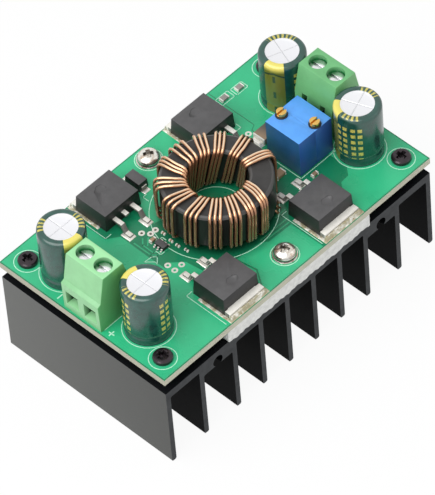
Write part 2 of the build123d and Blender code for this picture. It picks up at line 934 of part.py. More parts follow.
with BuildPart() as chip_ends:
    for x, y, length, width, height, along_y in chips:
        for side in (-1, 1):
            reach = side * (length - chip_end) / 2
            end_x = x if along_y else x + reach
            end_y = y + reach if along_y else y
            with Locations(Location((end_x, end_y, board_top), (0, 0, 90 if along_y else 0))):
                Box(chip_end, width, height, align=(Align.CENTER, Align.CENTER, Align.MIN))
save(chip_ends.part, "chip_ends")


def gull_pins(x, y, width, count, pitch, pin_width, thick, reach, board_face, lift):
    """Two rows of bent pins from the sides of a package down to the board's face."""
    turn = 1 if lift > 0 else -1
    with BuildPart() as pins:
        for side in (-1, 1):
            face_x = x + side * width / 2
            bend_x = face_x + side * reach / 2
            foot_x = face_x + side * reach
            for n in range(count):
                pin_y = y + (n - (count - 1) / 2) * pitch
                y0 = pin_y - pin_width / 2
                y1 = pin_y + pin_width / 2
                level = board_face + lift
                foot = board_face + turn * thick
                box_between(face_x, bend_x, y0, y1, level, level - turn * thick)
                box_between(bend_x - side * thick, bend_x, y0, y1, level, board_face)
                box_between(bend_x - side * thick, foot_x, y0, y1, foot, board_face)
    return pins.part


with BuildPart() as driver_body:
    with BuildSketch(Plane.XY.offset(board_top)):
        with Locations((driver_x, driver_y)):
            Rectangle(driver_width, driver_length)
    extrude(amount=driver_height)
save(driver_body.part, "driver_body")

driver_pins = gull_pins(
    driver_x,
    driver_y,
    driver_width,
    driver_pin_count,
    driver_pin_pitch,
    driver_pin_width,
    driver_pin_thick,
    driver_pin_reach,
    board_top,
    driver_height / 2,
)
save(driver_pins, "driver_pins")

# Controller package and its pins, hung under the board
with BuildPart() as controller_body:
    with BuildSketch(Plane.XY.offset(board_bottom)):
        with Locations((controller_x, 0)):
            Rectangle(controller_width, controller_length)
    extrude(amount=-controller_height)
save(controller_body.part, "controller_body")

controller_pins = gull_pins(
    controller_x,
    0,
    controller_width,
    controller_pin_count,
    controller_pin_pitch,
    controller_pin_width,
    controller_pin_thick,
    controller_pin_reach,
    board_bottom,
    -controller_height / 2,
)
save(controller_pins, "controller_pins")
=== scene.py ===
from math import atan2, cos, hypot, pi, radians, sin

import bmesh
import bpy
from bpy.props import FloatProperty, FloatVectorProperty, IntProperty, PointerProperty
from mathutils import Euler, Matrix, Vector


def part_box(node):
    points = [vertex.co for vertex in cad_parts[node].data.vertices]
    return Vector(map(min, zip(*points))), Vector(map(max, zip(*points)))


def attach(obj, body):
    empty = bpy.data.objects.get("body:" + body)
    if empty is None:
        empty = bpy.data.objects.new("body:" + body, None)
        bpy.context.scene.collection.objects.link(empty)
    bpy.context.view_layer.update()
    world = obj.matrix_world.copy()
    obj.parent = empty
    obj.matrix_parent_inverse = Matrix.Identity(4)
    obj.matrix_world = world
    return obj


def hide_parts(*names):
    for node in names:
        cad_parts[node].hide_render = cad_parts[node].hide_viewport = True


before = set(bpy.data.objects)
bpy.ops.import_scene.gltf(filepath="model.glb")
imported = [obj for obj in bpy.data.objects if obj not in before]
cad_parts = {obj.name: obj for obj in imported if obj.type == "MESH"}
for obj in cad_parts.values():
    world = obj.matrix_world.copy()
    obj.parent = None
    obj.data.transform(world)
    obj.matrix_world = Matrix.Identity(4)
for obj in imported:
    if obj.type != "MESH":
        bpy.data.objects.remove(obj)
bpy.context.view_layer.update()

bl_info = {
    "name": "Buck-boost converter module",
    "version": (1, 0, 0),
    "blender": (4, 5, 0),
    "location": "View3D > Sidebar > Module",
    "description": "Dresses the packed converter module with its finishes and fine parts",
    "category": "Add Mesh",
}

# Lengths below are in millimetres; place_piece turns them into Blender's metres.
MM = 0.001


def paint(red, green, blue):
    """Linear colour from the 0 to 255 values that a screen shows."""
    def linear(level):
        share = level / 255
        return share / 12.92 if share <= 0.04045 else ((share + 0.055) / 1.055) ** 2.4
    return linear(red), linear(green), linear(blue)


# Settings that a user would change


def colour(name, description, shown):
    return FloatVectorProperty(
        name=name, description=description, subtype="COLOR", size=3, min=0.0, max=1.0,
        default=paint(*shown),
    )


def length(name, description, millimetres):
    return FloatProperty(
        name=name, description=description, subtype="DISTANCE", unit="LENGTH", min=0.0,
        default=millimetres * MM,
    )


def degrees(name, description, shown):
    return FloatProperty(
        name=name, description=description, subtype="ANGLE", unit="ROTATION", default=radians(shown),
    )


def watts(name, description, shown):
    return FloatProperty(name=name, description=description, unit="POWER", default=shown)


class ModuleColours(bpy.types.PropertyGroup):
    mask_bare: colour("Mask on laminate", "Solder mask over bare laminate", (20, 132, 91))
    mask_copper: colour("Mask on copper", "Solder mask over copper areas", (50, 184, 130))
    laminate: colour("Laminate", "Sawn edge of the board", (206, 204, 182))
    ink: colour("Marking ink", "White outline marks on the board", (198, 246, 220))
    # painted reflection: this grey is painted on the heatsink's outermost faces; its other faces are near
    # black
    anodised: colour("Anodised", "Black anodised extrusion", (99, 100, 98))
    pad: colour("Thermal pad", "Soft white pad", (236, 236, 232))
    terminal: colour("Terminals", "Light green moulded housings", (136, 192, 140))
    sleeve: colour("Sleeves", "Shrink sleeves of the capacitors", (20, 72, 62))
    print: colour("Sleeve print", "Yellow stripe and marks on the sleeves", (232, 218, 104))
    can: colour("Cans", "Bare aluminium tops", (235, 235, 238))
    trimmer: colour("Trimmers", "Blue cases", (88, 160, 240))
    epoxy: colour("Packages", "Moulded package epoxy", (80, 79, 80))
    core: colour("Core", "Coated powder core", (56, 55, 54))
    copper: colour("Wire", "Enamelled copper wire", (222, 168, 126))
    solder: colour("Solder", "Tinned leads and solder", (244, 241, 232))
    nickel: colour("Nickel", "Bright middle screws", (234, 233, 226))
    brass: colour("Brass", "Trimmer screws", (234, 190, 106))


class ModuleSizes(bpy.types.PropertyGroup):
    moulded_edge: length("Moulded edge", "Rounding of moulded plastic edges", 0.18)
    metal_edge: length("Metal edge", "Rounding of cut metal edges", 0.07)
    ink_width: length("Mark width", "Width of the outline marks", 0.17)
    ink_thick: length("Mark thickness", "Height of the ink above the mask", 0.02)
    copper_thick: length("Copper thickness", "Height of the copper areas under the mask", 0.035)
    wire: length("Wire", "Diameter of the winding's wire", 0.7)
    wire_bend: length("Wire bend", "Distance from a corner at which the wire starts to bend", 2.8)
    pad_rim: length("Pad rim", "Reach of the pad past its edge, where it hangs a little", 0.08)
    ring_steps: IntProperty(
        name="Steps round", description="Faces round a turned piece", default=72, min=16,
    )


class ModuleStage(bpy.types.PropertyGroup):
    lens: FloatProperty(
        name="Lens", description="Focal length in millimetres", default=412.19, subtype="DISTANCE_CAMERA",
    )
    azimuth: degrees("Azimuth", "Camera direction round the module", -42.168)
    elevation: degrees("Elevation", "Camera direction above the board", 49.672)
    roll: degrees("Roll", "Lean of the camera", 5.064)
    distance: length("Distance", "Camera to the aimed point", 1151.26)
    aim: FloatVectorProperty(
        name="Aim", description="Aimed point on the board", size=2, unit="LENGTH",
        default=(-7.0 * MM, -7.29 * MM),
    )
    key_power: watts("Key light", "Power of the large soft light", 5.6)
    fill_power: watts("Fill light", "Power of the light from the right", 0.3)
    dome: FloatProperty(name="Dome", description="Strength of the light all round", default=0.5)


# Finishes


class Field:
    """One socket of a shader graph; arithmetic on it adds Math nodes."""

    def __init__(self, graph, socket):
        self.graph = graph
        self.socket = socket

    def __add__(self, other):
        return self.graph.math("ADD", self, other)

    __radd__ = __add__

    def __sub__(self, other):
        return self.graph.math("SUBTRACT", self, other)

    def __rsub__(self, other):
        return self.graph.math("SUBTRACT", other, self)

    def __mul__(self, other):
        return self.graph.math("MULTIPLY", self, other)

    __rmul__ = __mul__

    def __truediv__(self, other):
        return self.graph.math("DIVIDE", self, other)

    def __gt__(self, other):
        return self.graph.math("GREATER_THAN", self, other)

    def __lt__(self, other):
        return self.graph.math("LESS_THAN", self, other)

    def __abs__(self):
        return self.graph.math("ABSOLUTE", self)


class Graph:
    """The node tree of a material or world, whose nodes are added through one method."""

    def __init__(self, owner):
        owner.use_nodes = True
        self.owner = owner
        self.tree = owner.node_tree
        self.tree.nodes.clear()

    def node(self, kind, settings=None, inputs=(), output=0):
        """Adds one node: its settings first, then the values or links of its inputs."""
        made = self.tree.nodes.new(kind)
        for key, value in (settings or {}).items():
            setattr(made, key, value)
        pairs = inputs.items() if isinstance(inputs, dict) else enumerate(inputs)
        for key, value in pairs:
            if isinstance(value, Field):
                self.tree.links.new(value.socket, made.inputs[key])
            else:
                made.inputs[key].default_value = value
        return Field(self, made.outputs[output]) if len(made.outputs) else None

    def math(self, operation, *values):
        return self.node("ShaderNodeMath", {"operation": operation}, values)

    def position(self):
        """Object coordinates in millimetres."""
        place = self.node("ShaderNodeTexCoord", output="Object")
        return self.node("ShaderNodeVectorMath", {"operation": "SCALE"}, {0: place, "Scale": 1 / MM})

    def facing(self):
        """The three parts of the surface's direction in the object's frame."""
        return self.split(self.node("ShaderNodeTexCoord", output="Normal"))

    def split(self, vector):
        return [self.node("ShaderNodeSeparateXYZ", None, (vector,), output=n) for n in range(3)]

    def stretched(self, vector, x, y, z):
        return self.node("ShaderNodeVectorMath", {"operation": "MULTIPLY"}, (vector, (x, y, z)))

    def distance(self, vector, x, y):
        """Distance in plan from an upright axis."""
        away = self.node("ShaderNodeVectorMath", {"operation": "ADD"}, (vector, (-x, -y, 0.0)))
        away = self.stretched(away, 1.0, 1.0, 0.0)
        return self.node("ShaderNodeVectorMath", {"operation": "LENGTH"}, (away,), output="Value")

    def noise(self, vector, scale, detail=3.0):
        return self.node(
            "ShaderNodeTexNoise", None,
            {"Vector": vector, "Scale": scale, "Detail": detail, "Roughness": 0.55},
        )

    def cells(self, vector, scale):
        return self.node("ShaderNodeTexVoronoi", None, {"Vector": vector, "Scale": scale}, "Distance")

    def fract(self, value):
        return self.math("FRACT", value)

    def larger(self, first, second):
        return self.math("MAXIMUM", first, second)

    def shown_rays(self):
        """1 where a surface or the world is seen, straight on or in metal or glass."""
        kinds = ("Is Camera Ray", "Is Glossy Ray", "Is Transmission Ray")
        straight, glossy, through = (self.node("ShaderNodeLightPath", output=kind) for kind in kinds)
        return self.larger(self.larger(straight, glossy), through)

    def levels(self, value, low, high):
        """Value spread so that low becomes 0 and high becomes 1, held at both ends."""
        return self.node(
            "ShaderNodeMapRange", {"clamp": True},
            {"Value": value, "From Min": low, "From Max": high, "To Min": 0.0, "To Max": 1.0},
        )

    def blend(self, share, first, second):
        """The first colour where share is 0 and the second where it is 1."""
        inputs = {0: share, 6: opaque(first), 7: opaque(second)}
        return self.node("ShaderNodeMix", {"data_type": "RGBA"}, inputs, output=2)

    def shaded(self, share, rgb, first, second):
        """One colour, from its first tone to its second."""
        return self.blend(share, tone(rgb, first), tone(rgb, second))

    def surface(self, base, rough, height, depth, **plain):
        """Closes the graph with one Principled shader; height in shares of depth millimetres."""
        bump = {"Strength": 1.0, "Distance": depth * MM, "Height": height}
        inputs = {
            "Base Color": base, "Roughness": rough, "Normal": self.node("ShaderNodeBump", None, bump),
        }
        inputs.update({key.replace("_", " "): value for key, value in plain.items()})
        shader = self.node("ShaderNodeBsdfPrincipled", None, inputs)
        self.node("ShaderNodeOutputMaterial", None, {"Surface": shader})
        return self.owner


def new_finish(name):
    """A new material's graph, and where its points lie on the module."""
    graph = Graph(bpy.data.materials.new(name))
    return graph, graph.position()


def tone(rgb, share):
    """The colour made darker or lighter by a share of itself."""
    return tuple(min(1.0, level * share) for level in rgb)


def opaque(rgb):
    """A colour as a shader takes it; a socket stays as it is."""
    return (*rgb, 1.0) if isinstance(rgb, tuple) else rgb


def picked(name):
    """A colour from the settings."""
    return tuple(getattr(bpy.context.scene.module_colours, name))


def mottled_plastic(name, rgb, rough):
    """Moulded plastic: fine grain, faint flow clouds."""
    graph, place = new_finish(name)
    cloud = graph.noise(place, 0.35)
    speck = graph.noise(place, 9.0, 2.0)
    base = graph.shaded(graph.levels(cloud, 0.35, 0.65), rgb, 0.92, 1.08)
    return graph.surface(base, rough + 0.12 * (speck - 0.5), speck, 0.012)


def terminal_finish(side):
    """Moulded housing with painted shade down its screw wells and into its wire funnels, and painted light
    and shade on its sides and on the input's top.
    """
    graph, place = new_finish(f"terminal_plastic_{side}")
    px, py, pz = graph.split(place)
    low, high = node_box(f"{side}_terminal_housing")
    inward = graph.levels(abs(px - (low.x if side == "input" else high.x)), 0.1, 1.5)
    downward = graph.levels(high.z - pz, 0.1, 1.1)
    well_half, funnel_half, funnel_rise, cage_rise = 2.25, 1.77, 2.03, 2.7
    funnels, wells = 0.0, 0.0
    for number in (1, 2):
        screw = node_middle(f"{side}_screw_{number}")
        mouth = node_box(f"{side}_cage_{number}")[0].z + cage_rise
        funnel = (abs(py - screw.y) < funnel_half) * (abs(pz - mouth) < funnel_rise)
        well = (abs(py - screw.y) < well_half) * (abs(px - screw.x) < well_half)
        funnels = graph.larger(funnels, funnel * inward)
        wells = graph.larger(wells, well * downward)
    cloud = graph.levels(graph.noise(place, 0.35), 0.35, 0.65)
    speck = graph.noise(place, 9.0, 2.0)
    rgb, painted_flank = picked("terminal"), paint(94, 166, 102)
    if side == "output":
        # painted shade: the whole output housing is painted a deeper green than the input one
        rgb = tuple(level * share for level, share in zip(rgb, (0.62, 0.86, 0.7)))
        painted_flank = paint(120, 190, 122)
    base = graph.shaded(cloud, rgb, 0.95, 1.04)
    if side == "input":
        # painted light: the input housing's top faces are painted lighter
        base = graph.blend(graph.facing()[2] > 0.9, base, tone(rgb, 1.35))
    # painted light and shade on the faces that face along Y: darker than the body on the input housing, a
    # little lighter than it on the output one
    base = graph.blend(abs(py) > high.y - 0.1, base, painted_flank)
    # painted shade down the screw wells, and darker painted shade into the wire funnels
    base = graph.blend(wells, base, paint(8, 114, 50))
    base = graph.blend(funnels, base, paint(2, 48, 16))
    return graph.surface(base, 0.38 + 0.12 * (speck - 0.5), speck, 0.012)


def trimmer_finish():
    """Moulded blue case with faint flow clouds: satin top, and upright sides painted a deeper, greyer blue
    as shade.
    """
    graph, place = new_finish("trimmer_plastic")
    cloud = graph.levels(graph.noise(place, 0.5), 0.35, 0.65)
    speck = graph.noise(place, 9.0, 2.0)
    rgb = picked("trimmer")
    top = graph.shaded(cloud, rgb, 0.96, 1.05)
    # painted shade: upright sides are painted a deeper blue, greyer on those facing along X than on those
    # facing along Y
    side = graph.blend(cloud, paint(36, 86, 126), paint(42, 92, 140))
    side = graph.blend(abs(graph.facing()[1]) > 0.5, side, paint(37, 83, 160))
    base = graph.blend(graph.levels(graph.facing()[2], 0.3, 0.7), side, top)
    return graph.surface(base, 0.36 + 0.12 * (speck - 0.5), speck, 0.01)


def board_finish(name, rgb):
    """Glossy solder mask with faint weave and a painted shadow in a ring round the coil's foot; sawn edges
    of pale laminate, painted darker where they face along X.
    """
    graph, place = new_finish(name)
    weave = graph.node(
        "ShaderNodeTexWave", {"wave_type": "BANDS", "bands_direction": "X"},
        {"Vector": place, "Scale": 0.55, "Distortion": 0.4},
    )
    cloud = graph.noise(place, 0.12)
    mask = graph.shaded(graph.levels(cloud, 0.3, 0.7), rgb, 0.9, 1.1)
    coil = node_middle("inductor_core")
    away = graph.distance(place, coil.x, coil.y)
    # painted shadow: a darker ring on the mask round the coil's foot
    painted_coil_shade = graph.levels(away, 9.0, 10.5) * (1 - graph.levels(away, 11.5, 15.0))
    mask = graph.blend(painted_coil_shade * 0.75, mask, paint(14, 70, 46))
    face_x, face_y, face_z = (abs(part) for part in graph.facing())
    flat = face_z > 0.5
    layers = graph.noise(graph.stretched(place, 0.4, 0.4, 6.0), 1.0)
    laminate = picked("laminate")
    edge = graph.shaded(graph.levels(layers, 0.3, 0.7), laminate, 0.72, 1.0)
    # painted shade: the laminate edges facing along X are painted darker
    edge = graph.blend(face_x > 0.7, edge, tone(laminate, 0.6))
    base = graph.blend(flat, edge, mask)
    rough = 0.6 - 0.32 * flat + 0.08 * (cloud - 0.5)
    return graph.surface(base, rough, weave, 0.006)


def anodised_finish():
    """Satin black anodising with draw lines and sawn fin ends; the outermost faces carry a painted
    reflection, a paler grey that grows lighter towards +Y.
    """
    graph, place = new_finish("anodised")
    px, py, pz = graph.split(place)
    face_x, face_y, face_z = (abs(part) for part in graph.facing())
    drawn = graph.noise(graph.stretched(place, 4.0, 0.05, 4.0), 1.0, 4.0)
    sawn = graph.noise(graph.stretched(place, 0.6, 1.0, 7.0), 1.0, 4.0)
    ends = face_y > 0.5
    grain = graph.blend(ends, drawn, sawn)
    dust = graph.levels(graph.noise(place, 0.5, 4.0), 0.3, 0.75)
    rgb = picked("anodised")
    # painted reflection: the outermost end faces are painted paler grey, lighter towards +Y
    outermost = (abs(px) > node_box("heatsink")[1].x - 0.2) * (face_x > 0.7)
    shaded = graph.shaded(graph.levels(py, -24.0, 24.0), rgb, 0.74, 1.18)
    base = graph.blend(dust, paint(4, 5, 6), paint(10, 11, 13))
    base = graph.blend(outermost, base, shaded)
    base = graph.blend(ends, base, graph.blend(dust, paint(54, 56, 58), paint(68, 70, 72)))
    base = graph.blend(face_z > 0.7, base, paint(20, 21, 23))
    rough = 0.5 - 0.08 * outermost + 0.05 * (graph.noise(place, 1.4) - 0.5)
    metal = 0.8 * graph.larger(outermost, ends)
    return graph.surface(base, rough, grain, 0.012, Metallic=metal, Specular_IOR_Level=0.02)


def pad_finish():
    """Soft filled silicone: mottled white with darker pores."""
    graph, place = new_finish("thermal_pad")
    cloud = graph.noise(place, 0.9, 5.0)
    pores = graph.levels(graph.cells(place, 1.6), 0.02, 0.2)
    rgb = picked("pad")
    base = graph.shaded(graph.levels(cloud, 0.35, 0.62), rgb, 0.82, 1.0)
    base = graph.blend(pores, tone(rgb, 0.72), base)
    return graph.surface(base, 0.8, cloud, 0.08)


def ink_finish():
    """Screen-printed ink, thin enough to let the mask through in specks."""
    graph, place = new_finish("marking_ink")
    worn = graph.levels(graph.noise(place, 3.5, 4.0), 0.32, 0.5)
    ink = picked("ink")
    thin = tuple((over + under) / 2 for over, under in zip(ink, picked("mask_copper")))
    base = graph.blend(worn, thin, ink)
    return graph.surface(base, 0.55, worn, 0.01)


def metal_finish(name, rgb, rough=0.25, dent=0.01, scale=2.0, variety=0.12, metallic=1.0):
    """Bright metal with faint dents and a little tarnish."""
    graph, place = new_finish(name)
    dents = graph.noise(place, scale)
    stain = graph.noise(place, scale * 0.3)
    base = graph.shaded(graph.levels(stain, 0.35, 0.7), rgb, 1.0, 1 - variety)
    return graph.surface(base, rough + 0.15 * (dents - 0.5), dents, dent, Metallic=metallic)


def nickel_finish(level):
    """Bright nickel, with painted shade in the gap over the flange and down the cross recess."""
    graph, place = new_finish("nickel")
    dents = graph.noise(place, 0.9)
    height = graph.split(place)[2] - level
    upward = graph.facing()[2]
    # painted shade in the gap between the dome and the flange, and down the cross recess
    gap = (height > 0.36) * (1 - graph.levels(height, 0.6, 1.0)) * (upward < 0.8)
    recess = (height > 1.05) * (1 - graph.levels(upward, 0.3, 0.7))
    # painted reflection: brownish patches at random over the nickel
    stain = graph.levels(graph.noise(place, 0.8), 0.45, 0.65)
    base = graph.blend(stain, picked("nickel"), paint(196, 176, 158))
    base = graph.blend(graph.larger(gap, recess * 0.8), base, paint(58, 46, 38))
    return graph.surface(base, 0.24 + 0.15 * (dents - 0.5), dents, 0.03, Metallic=0.9)


def heap_finish():
    """Dull solder with olive stains and specks of old flux."""
    graph, place = new_finish("solder_heap")
    lump = graph.noise(place, 1.5)
    stain = graph.levels(graph.noise(place, 0.9), 0.32, 0.55)
    speck = (graph.cells(place, 1.3) < 0.22) * graph.levels(graph.noise(place, 1.1), 0.45, 0.55)
    rgb = picked("solder")
    base = graph.blend(stain, rgb, paint(172, 164, 134))
    base = graph.blend(speck * 0.8, base, paint(150, 118, 56))
    return graph.surface(base, 0.4 + 0.15 * (lump - 0.5), lump, 0.06, Metallic=0.2)


def lead_finish():
    """Matte tin with painted shade where the lead turns down; flat faces and the tab's end keep the bright
    tin colour.
    """
    graph, place = new_finish("tinned_lead")
    dents = graph.noise(place, 1.2)
    flat = graph.levels(abs(graph.facing()[2]), 0.8, 0.97)
    tab_end = abs(graph.split(place)[1]) > node_box("circuit_board")[1].y - 1.3
    flat = graph.larger(flat, 0.85 * tab_end)
    rgb = picked("solder")
    base = graph.shaded(graph.levels(dents, 0.35, 0.7), rgb, 1.0, 0.9)
    # painted shade: faces that do not lie flat, apart from the tab's end, are painted dark
    base = graph.blend(flat, tone(rgb, 0.25), base)
    return graph.surface(base, 0.36 + 0.15 * (dents - 0.5), dents, 0.01, Metallic=0.1)


def epoxy_finish():
    """Moulded package: matte, with fine silica sparkle and a faint sheen."""
    graph, place = new_finish("package_epoxy")
    fine = graph.noise(place, 7.0)
    cloud = graph.noise(place, 0.6, 2.0)
    spark = graph.cells(place, 5.0) < 0.12
    rgb = picked("epoxy")
    base = graph.shaded(graph.levels(cloud, 0.3, 0.7), rgb, 0.88, 1.1)
    base = graph.blend(spark * 0.25, base, tone(rgb, 2.4))
    # painted shade: upright sides are painted much darker than the top
    base = graph.blend(graph.levels(graph.facing()[2], 0.3, 0.8), tone(rgb, 0.18), base)
    return graph.surface(base, 0.5 + 0.15 * (fine - 0.5), fine, 0.02)


def core_finish():
    """Painted powder core: matte top, glossy rims with a painted highlight, and painted shade down the
    upright sides.
    """
    graph, place = new_finish("core_coat")
    fine = graph.noise(place, 5.0)
    cloud = graph.noise(place, 0.5)
    rgb = picked("core")
    base = graph.shaded(graph.levels(cloud, 0.3, 0.7), rgb, 0.85, 1.15)
    tilt = graph.facing()[2]
    # painted highlight: the rim bands are painted lighter all round
    base = graph.blend((tilt > 0.3) * (tilt < 0.95), base, tone(rgb, 1.9))
    # painted shade: the upright sides are painted dark
    base = graph.blend(graph.levels(tilt, 0.1, 0.35), tone(rgb, 0.3), base)
    rough = 0.34 + 0.16 * (tilt > 0.97) + 0.1 * (fine - 0.5)
    return graph.surface(base, rough, fine, 0.02, Specular_IOR_Level=0.3)


def wire_finish():
    """Enamelled copper: bright metal under a clear coat, darker where it was rubbed, with painted shade
    down its sides and a painted highlight along its crests.
    """
    graph, place = new_finish("enamelled_wire")
    rub = graph.noise(place, 1.2)
    fine = graph.noise(place, 4.0, 2.0)
    rgb = picked("copper")
    upward = graph.facing()[2]
    base = graph.shaded(graph.levels(rub, 0.35, 0.7), rgb, 1.0, 0.84)
    top = graph.levels(upward, 0.25, 0.85)
    # painted shade: faces that turn away from up are painted a dark brown
    base = graph.blend(top, paint(160, 114, 84), base)
    # painted highlight: a pale cream along the crests
    base = graph.blend(graph.levels(upward, 0.86, 0.98) * 0.75, base, paint(255, 236, 206))
    metal = 0.62 + 0.25 * top
    return graph.surface(base, 0.15 + 0.1 * (fine - 0.5), rub, 0.015, Metallic=metal, Coat_Weight=0.5)


def sleeve_finish(number, low, high, stripe, columns, rows):
    """Glossy film with a pale stripe, dashes on it, columns of bars and rows of shoulder ticks."""
    graph, place = new_finish(f"sleeve_{number}")
    px, py, pz = graph.split(place)
    angle = graph.math("ARCTAN2", py - (low.y + high.y) / 2, px - (low.x + high.x) / 2)

    def off(centre):
        """Angle away from the centre's, up to half a turn."""
        turned = (angle - radians(centre)) / (2 * pi) + 0.5
        return abs((graph.fract(turned + 4.0) - 0.5) * (2 * pi))

    level = (pz - low.z) / (high.z - low.z)
    off_stripe = off(stripe)
    band = off_stripe < 0.45
    dash = (off_stripe < 0.06) * (graph.fract(level * 3.0) < 0.4) * (level < 0.88)
    marks = 0.0
    for centre in columns:
        column = off(centre)
        bars = (column < 0.24) * (column > 0.05) * (graph.fract(level * 8.0) < 0.55)
        marks = graph.larger(marks, bars * (level < 0.86) * (level > 0.16))
    for centre in rows:
        ticks = (graph.fract(angle * (14 / pi)) < 0.5) * (off(centre) < 0.5)
        marks = graph.larger(marks, ticks * (level > 0.985))
    marks = marks * (1 - band)
    worn = graph.levels(graph.noise(place, 2.5), 0.25, 0.5)
    film, ink = picked("sleeve"), picked("print")
    cloud = graph.noise(place, 0.6)
    base = graph.shaded(graph.levels(cloud, 0.3, 0.7), film, 0.75, 1.25)
    shoulder = graph.levels(level, 0.88, 0.95)
    vee = abs(level - 0.86 + 0.12 * off_stripe) < 0.018
    # painted shade: down the side the stripe's marks are painted olive, a darker copy of the shoulder's
    # yellow print
    stripe_side = graph.blend(graph.larger(vee, dash) * 0.85, paint(112, 118, 44), tone(film, 0.6))
    base = graph.blend(band, base, graph.blend(shoulder, stripe_side, ink))
    base = graph.blend(marks * worn, base, tone(ink, 0.75))
    crease = graph.noise(graph.stretched(place, 0.8, 0.8, 0.25), 1.0, 2.0)
    return graph.surface(base, 0.2 + 0.06 * cloud, crease, 0.006, Specular_IOR_Level=0.85)


def can_finish(number, x, y, turn):
    """Bare can top: fine rolling lines and a pressed cross that lets it vent."""
    graph, place = new_finish(f"can_{number}")
    px, py, _ = graph.split(place)
    groove = 0.0
    for arm in (radians(turn), radians(turn + 90)):
        away = abs((px - x) * sin(arm) - (py - y) * cos(arm))
        groove = graph.larger(groove, 1 - graph.levels(away, 0.04, 0.13))
    groove = groove * (graph.facing()[2] > 0.9)
    rolled = graph.noise(graph.stretched(place, 7.0, 0.5, 1.0), 1.0)
    rgb = picked("can")
    # painted shade: the pressed cross is painted a little darker along its grooves
    base = graph.blend(groove * 0.15, rgb, tone(rgb, 0.6))
    return graph.surface(base, 0.34, rolled * 0.15 - groove, 0.09, Metallic=0.55)


def chip_finish():
    """Fired ceramic bodies, each a little different from the next."""
    graph, place = new_finish("chip_ceramic")
    shade = graph.noise(place, 0.11, 0.0)
    fine = graph.noise(place, 6.0)
    base = graph.blend(graph.levels(shade, 0.4, 0.6), paint(168, 140, 110), paint(92, 84, 78))
    px, py, _ = graph.split(place)
    far_corner = (px > 22.0) * (py > 17.0)
    base = graph.blend(far_corner, base, paint(150, 146, 140))
    return graph.surface(base, 0.45, fine, 0.01)


def stage_finish():
    """Pale floor that is seen as white and keeps the module's shadow."""
    graph, place = new_finish("floor")
    cloud = graph.noise(place, 0.02)
    plain = graph.node(
        "ShaderNodeBsdfDiffuse", None,
        {"Color": graph.blend(cloud, paint(240, 240, 240), paint(246, 246, 246))},
    )
    bright = graph.node("ShaderNodeEmission", None, {"Strength": 1.0})
    share = graph.shown_rays() * 0.93
    shown = graph.node("ShaderNodeMixShader", None, {0: share, 1: plain, 2: bright})
    graph.node("ShaderNodeOutputMaterial", None, {"Surface": shown})
    return graph.owner


# Modelling helpers


def node_box(name):
    """Lowest and highest corner of a CAD node, in millimetres."""
    low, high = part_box(name)
    return low / MM, high / MM


def node_middle(name):
    low, high = node_box(name)
    return (low + high) / 2


def size(name):
    """A length from the settings, in millimetres."""
    return getattr(bpy.context.scene.module_sizes, name) / MM


def board_level():
    return node_box("circuit_board")[1].z


def new_object(name, data):
    """Makes an object and links it to the scene."""
    made = bpy.data.objects.new(name, data)
    bpy.context.scene.collection.objects.link(made)
    return made


def mesh_object(name, bm):
    """Writes a bmesh into a new object and frees it."""
    mesh = bpy.data.meshes.new(name)
    bm.to_mesh(mesh)
    bm.free()
    return new_object(name, mesh)


def final_mesh(made):
    """The mesh that an object's modifiers or curve settings give."""
    graph = bpy.context.evaluated_depsgraph_get()
    return bpy.data.meshes.new_from_object(made.evaluated_get(graph))


def place_piece(bm, material, name=None, node=None, body="module", crease=32.0):
    """Writes the mesh, gives it its finish and lets it ride on its body, in place of a CAD node."""
    bmesh.ops.dissolve_degenerate(bm, dist=0.0005, edges=bm.edges)
    bmesh.ops.scale(bm, vec=(MM, MM, MM), verts=bm.verts)
    piece = mesh_object(name or f"{node}_shown", bm)
    piece.data.shade_smooth()
    piece.data.set_sharp_from_angle(angle=radians(crease))
    piece.data.materials.append(material)
    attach(piece, body)
    if node:
        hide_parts(node)


def finish_node(name, material):
    """Gives a CAD node's own mesh its finish."""
    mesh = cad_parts[name].data
    mesh.materials.clear()
    mesh.materials.append(material)


def node_mesh(name):
    """A merged copy of a CAD node, with flat areas joined into single faces."""
    bm = bmesh.new()
    bm.from_mesh(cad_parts[name].data)
    bmesh.ops.scale(bm, vec=(1 / MM,) * 3, verts=bm.verts)
    bmesh.ops.remove_doubles(bm, verts=bm.verts, dist=0.004)
    bmesh.ops.dissolve_limit(bm, angle_limit=radians(0.8), verts=bm.verts, edges=bm.edges)
    return bm


def islands(name):
    """Lowest and highest corner of each separate solid in a CAD node."""
    bm = node_mesh(name)
    left = set(bm.verts)
    found = []
    while left:
        reached = {left.pop()}
        newly = reached
        while newly:
            newly = {edge.other_vert(vert) for vert in newly for edge in vert.link_edges} - reached
            reached = reached | newly
        left -= reached
        found.append(tuple(
            Vector([pick(v.co[axis] for v in reached) for axis in range(3)]) for pick in (min, max)
        ))
    bm.free()
    return sorted(found, key=lambda box: tuple(box[0]))


def soften(bm, edges, radius):
    """Rounds edges in two steps."""
    bmesh.ops.bevel(
        bm, geom=edges, offset=radius, affect="EDGES", segments=2, profile=0.5, material=-1,
        clamp_overlap=True,
    )


def sharp_edges(bm, least):
    """Edges that turn by more than the least angle, in degrees."""
    return [e for e in bm.edges if e.is_manifold and e.calc_face_angle(0.0) > radians(least)]


def rounded_copy(name, radius):
    """A copy of a CAD node with rounded edges."""
    bm = node_mesh(name)
    soften(bm, sharp_edges(bm, 28), radius)
    return bm


def rounded_node(name, material, radius, body="module"):
    """Puts a copy with rounded edges in a CAD node's place."""
    place_piece(rounded_copy(name, radius), material, node=name, body=body)


def newest(bm, count):
    """Points that were added after the first count of them."""
    return list(bm.verts)[count:]


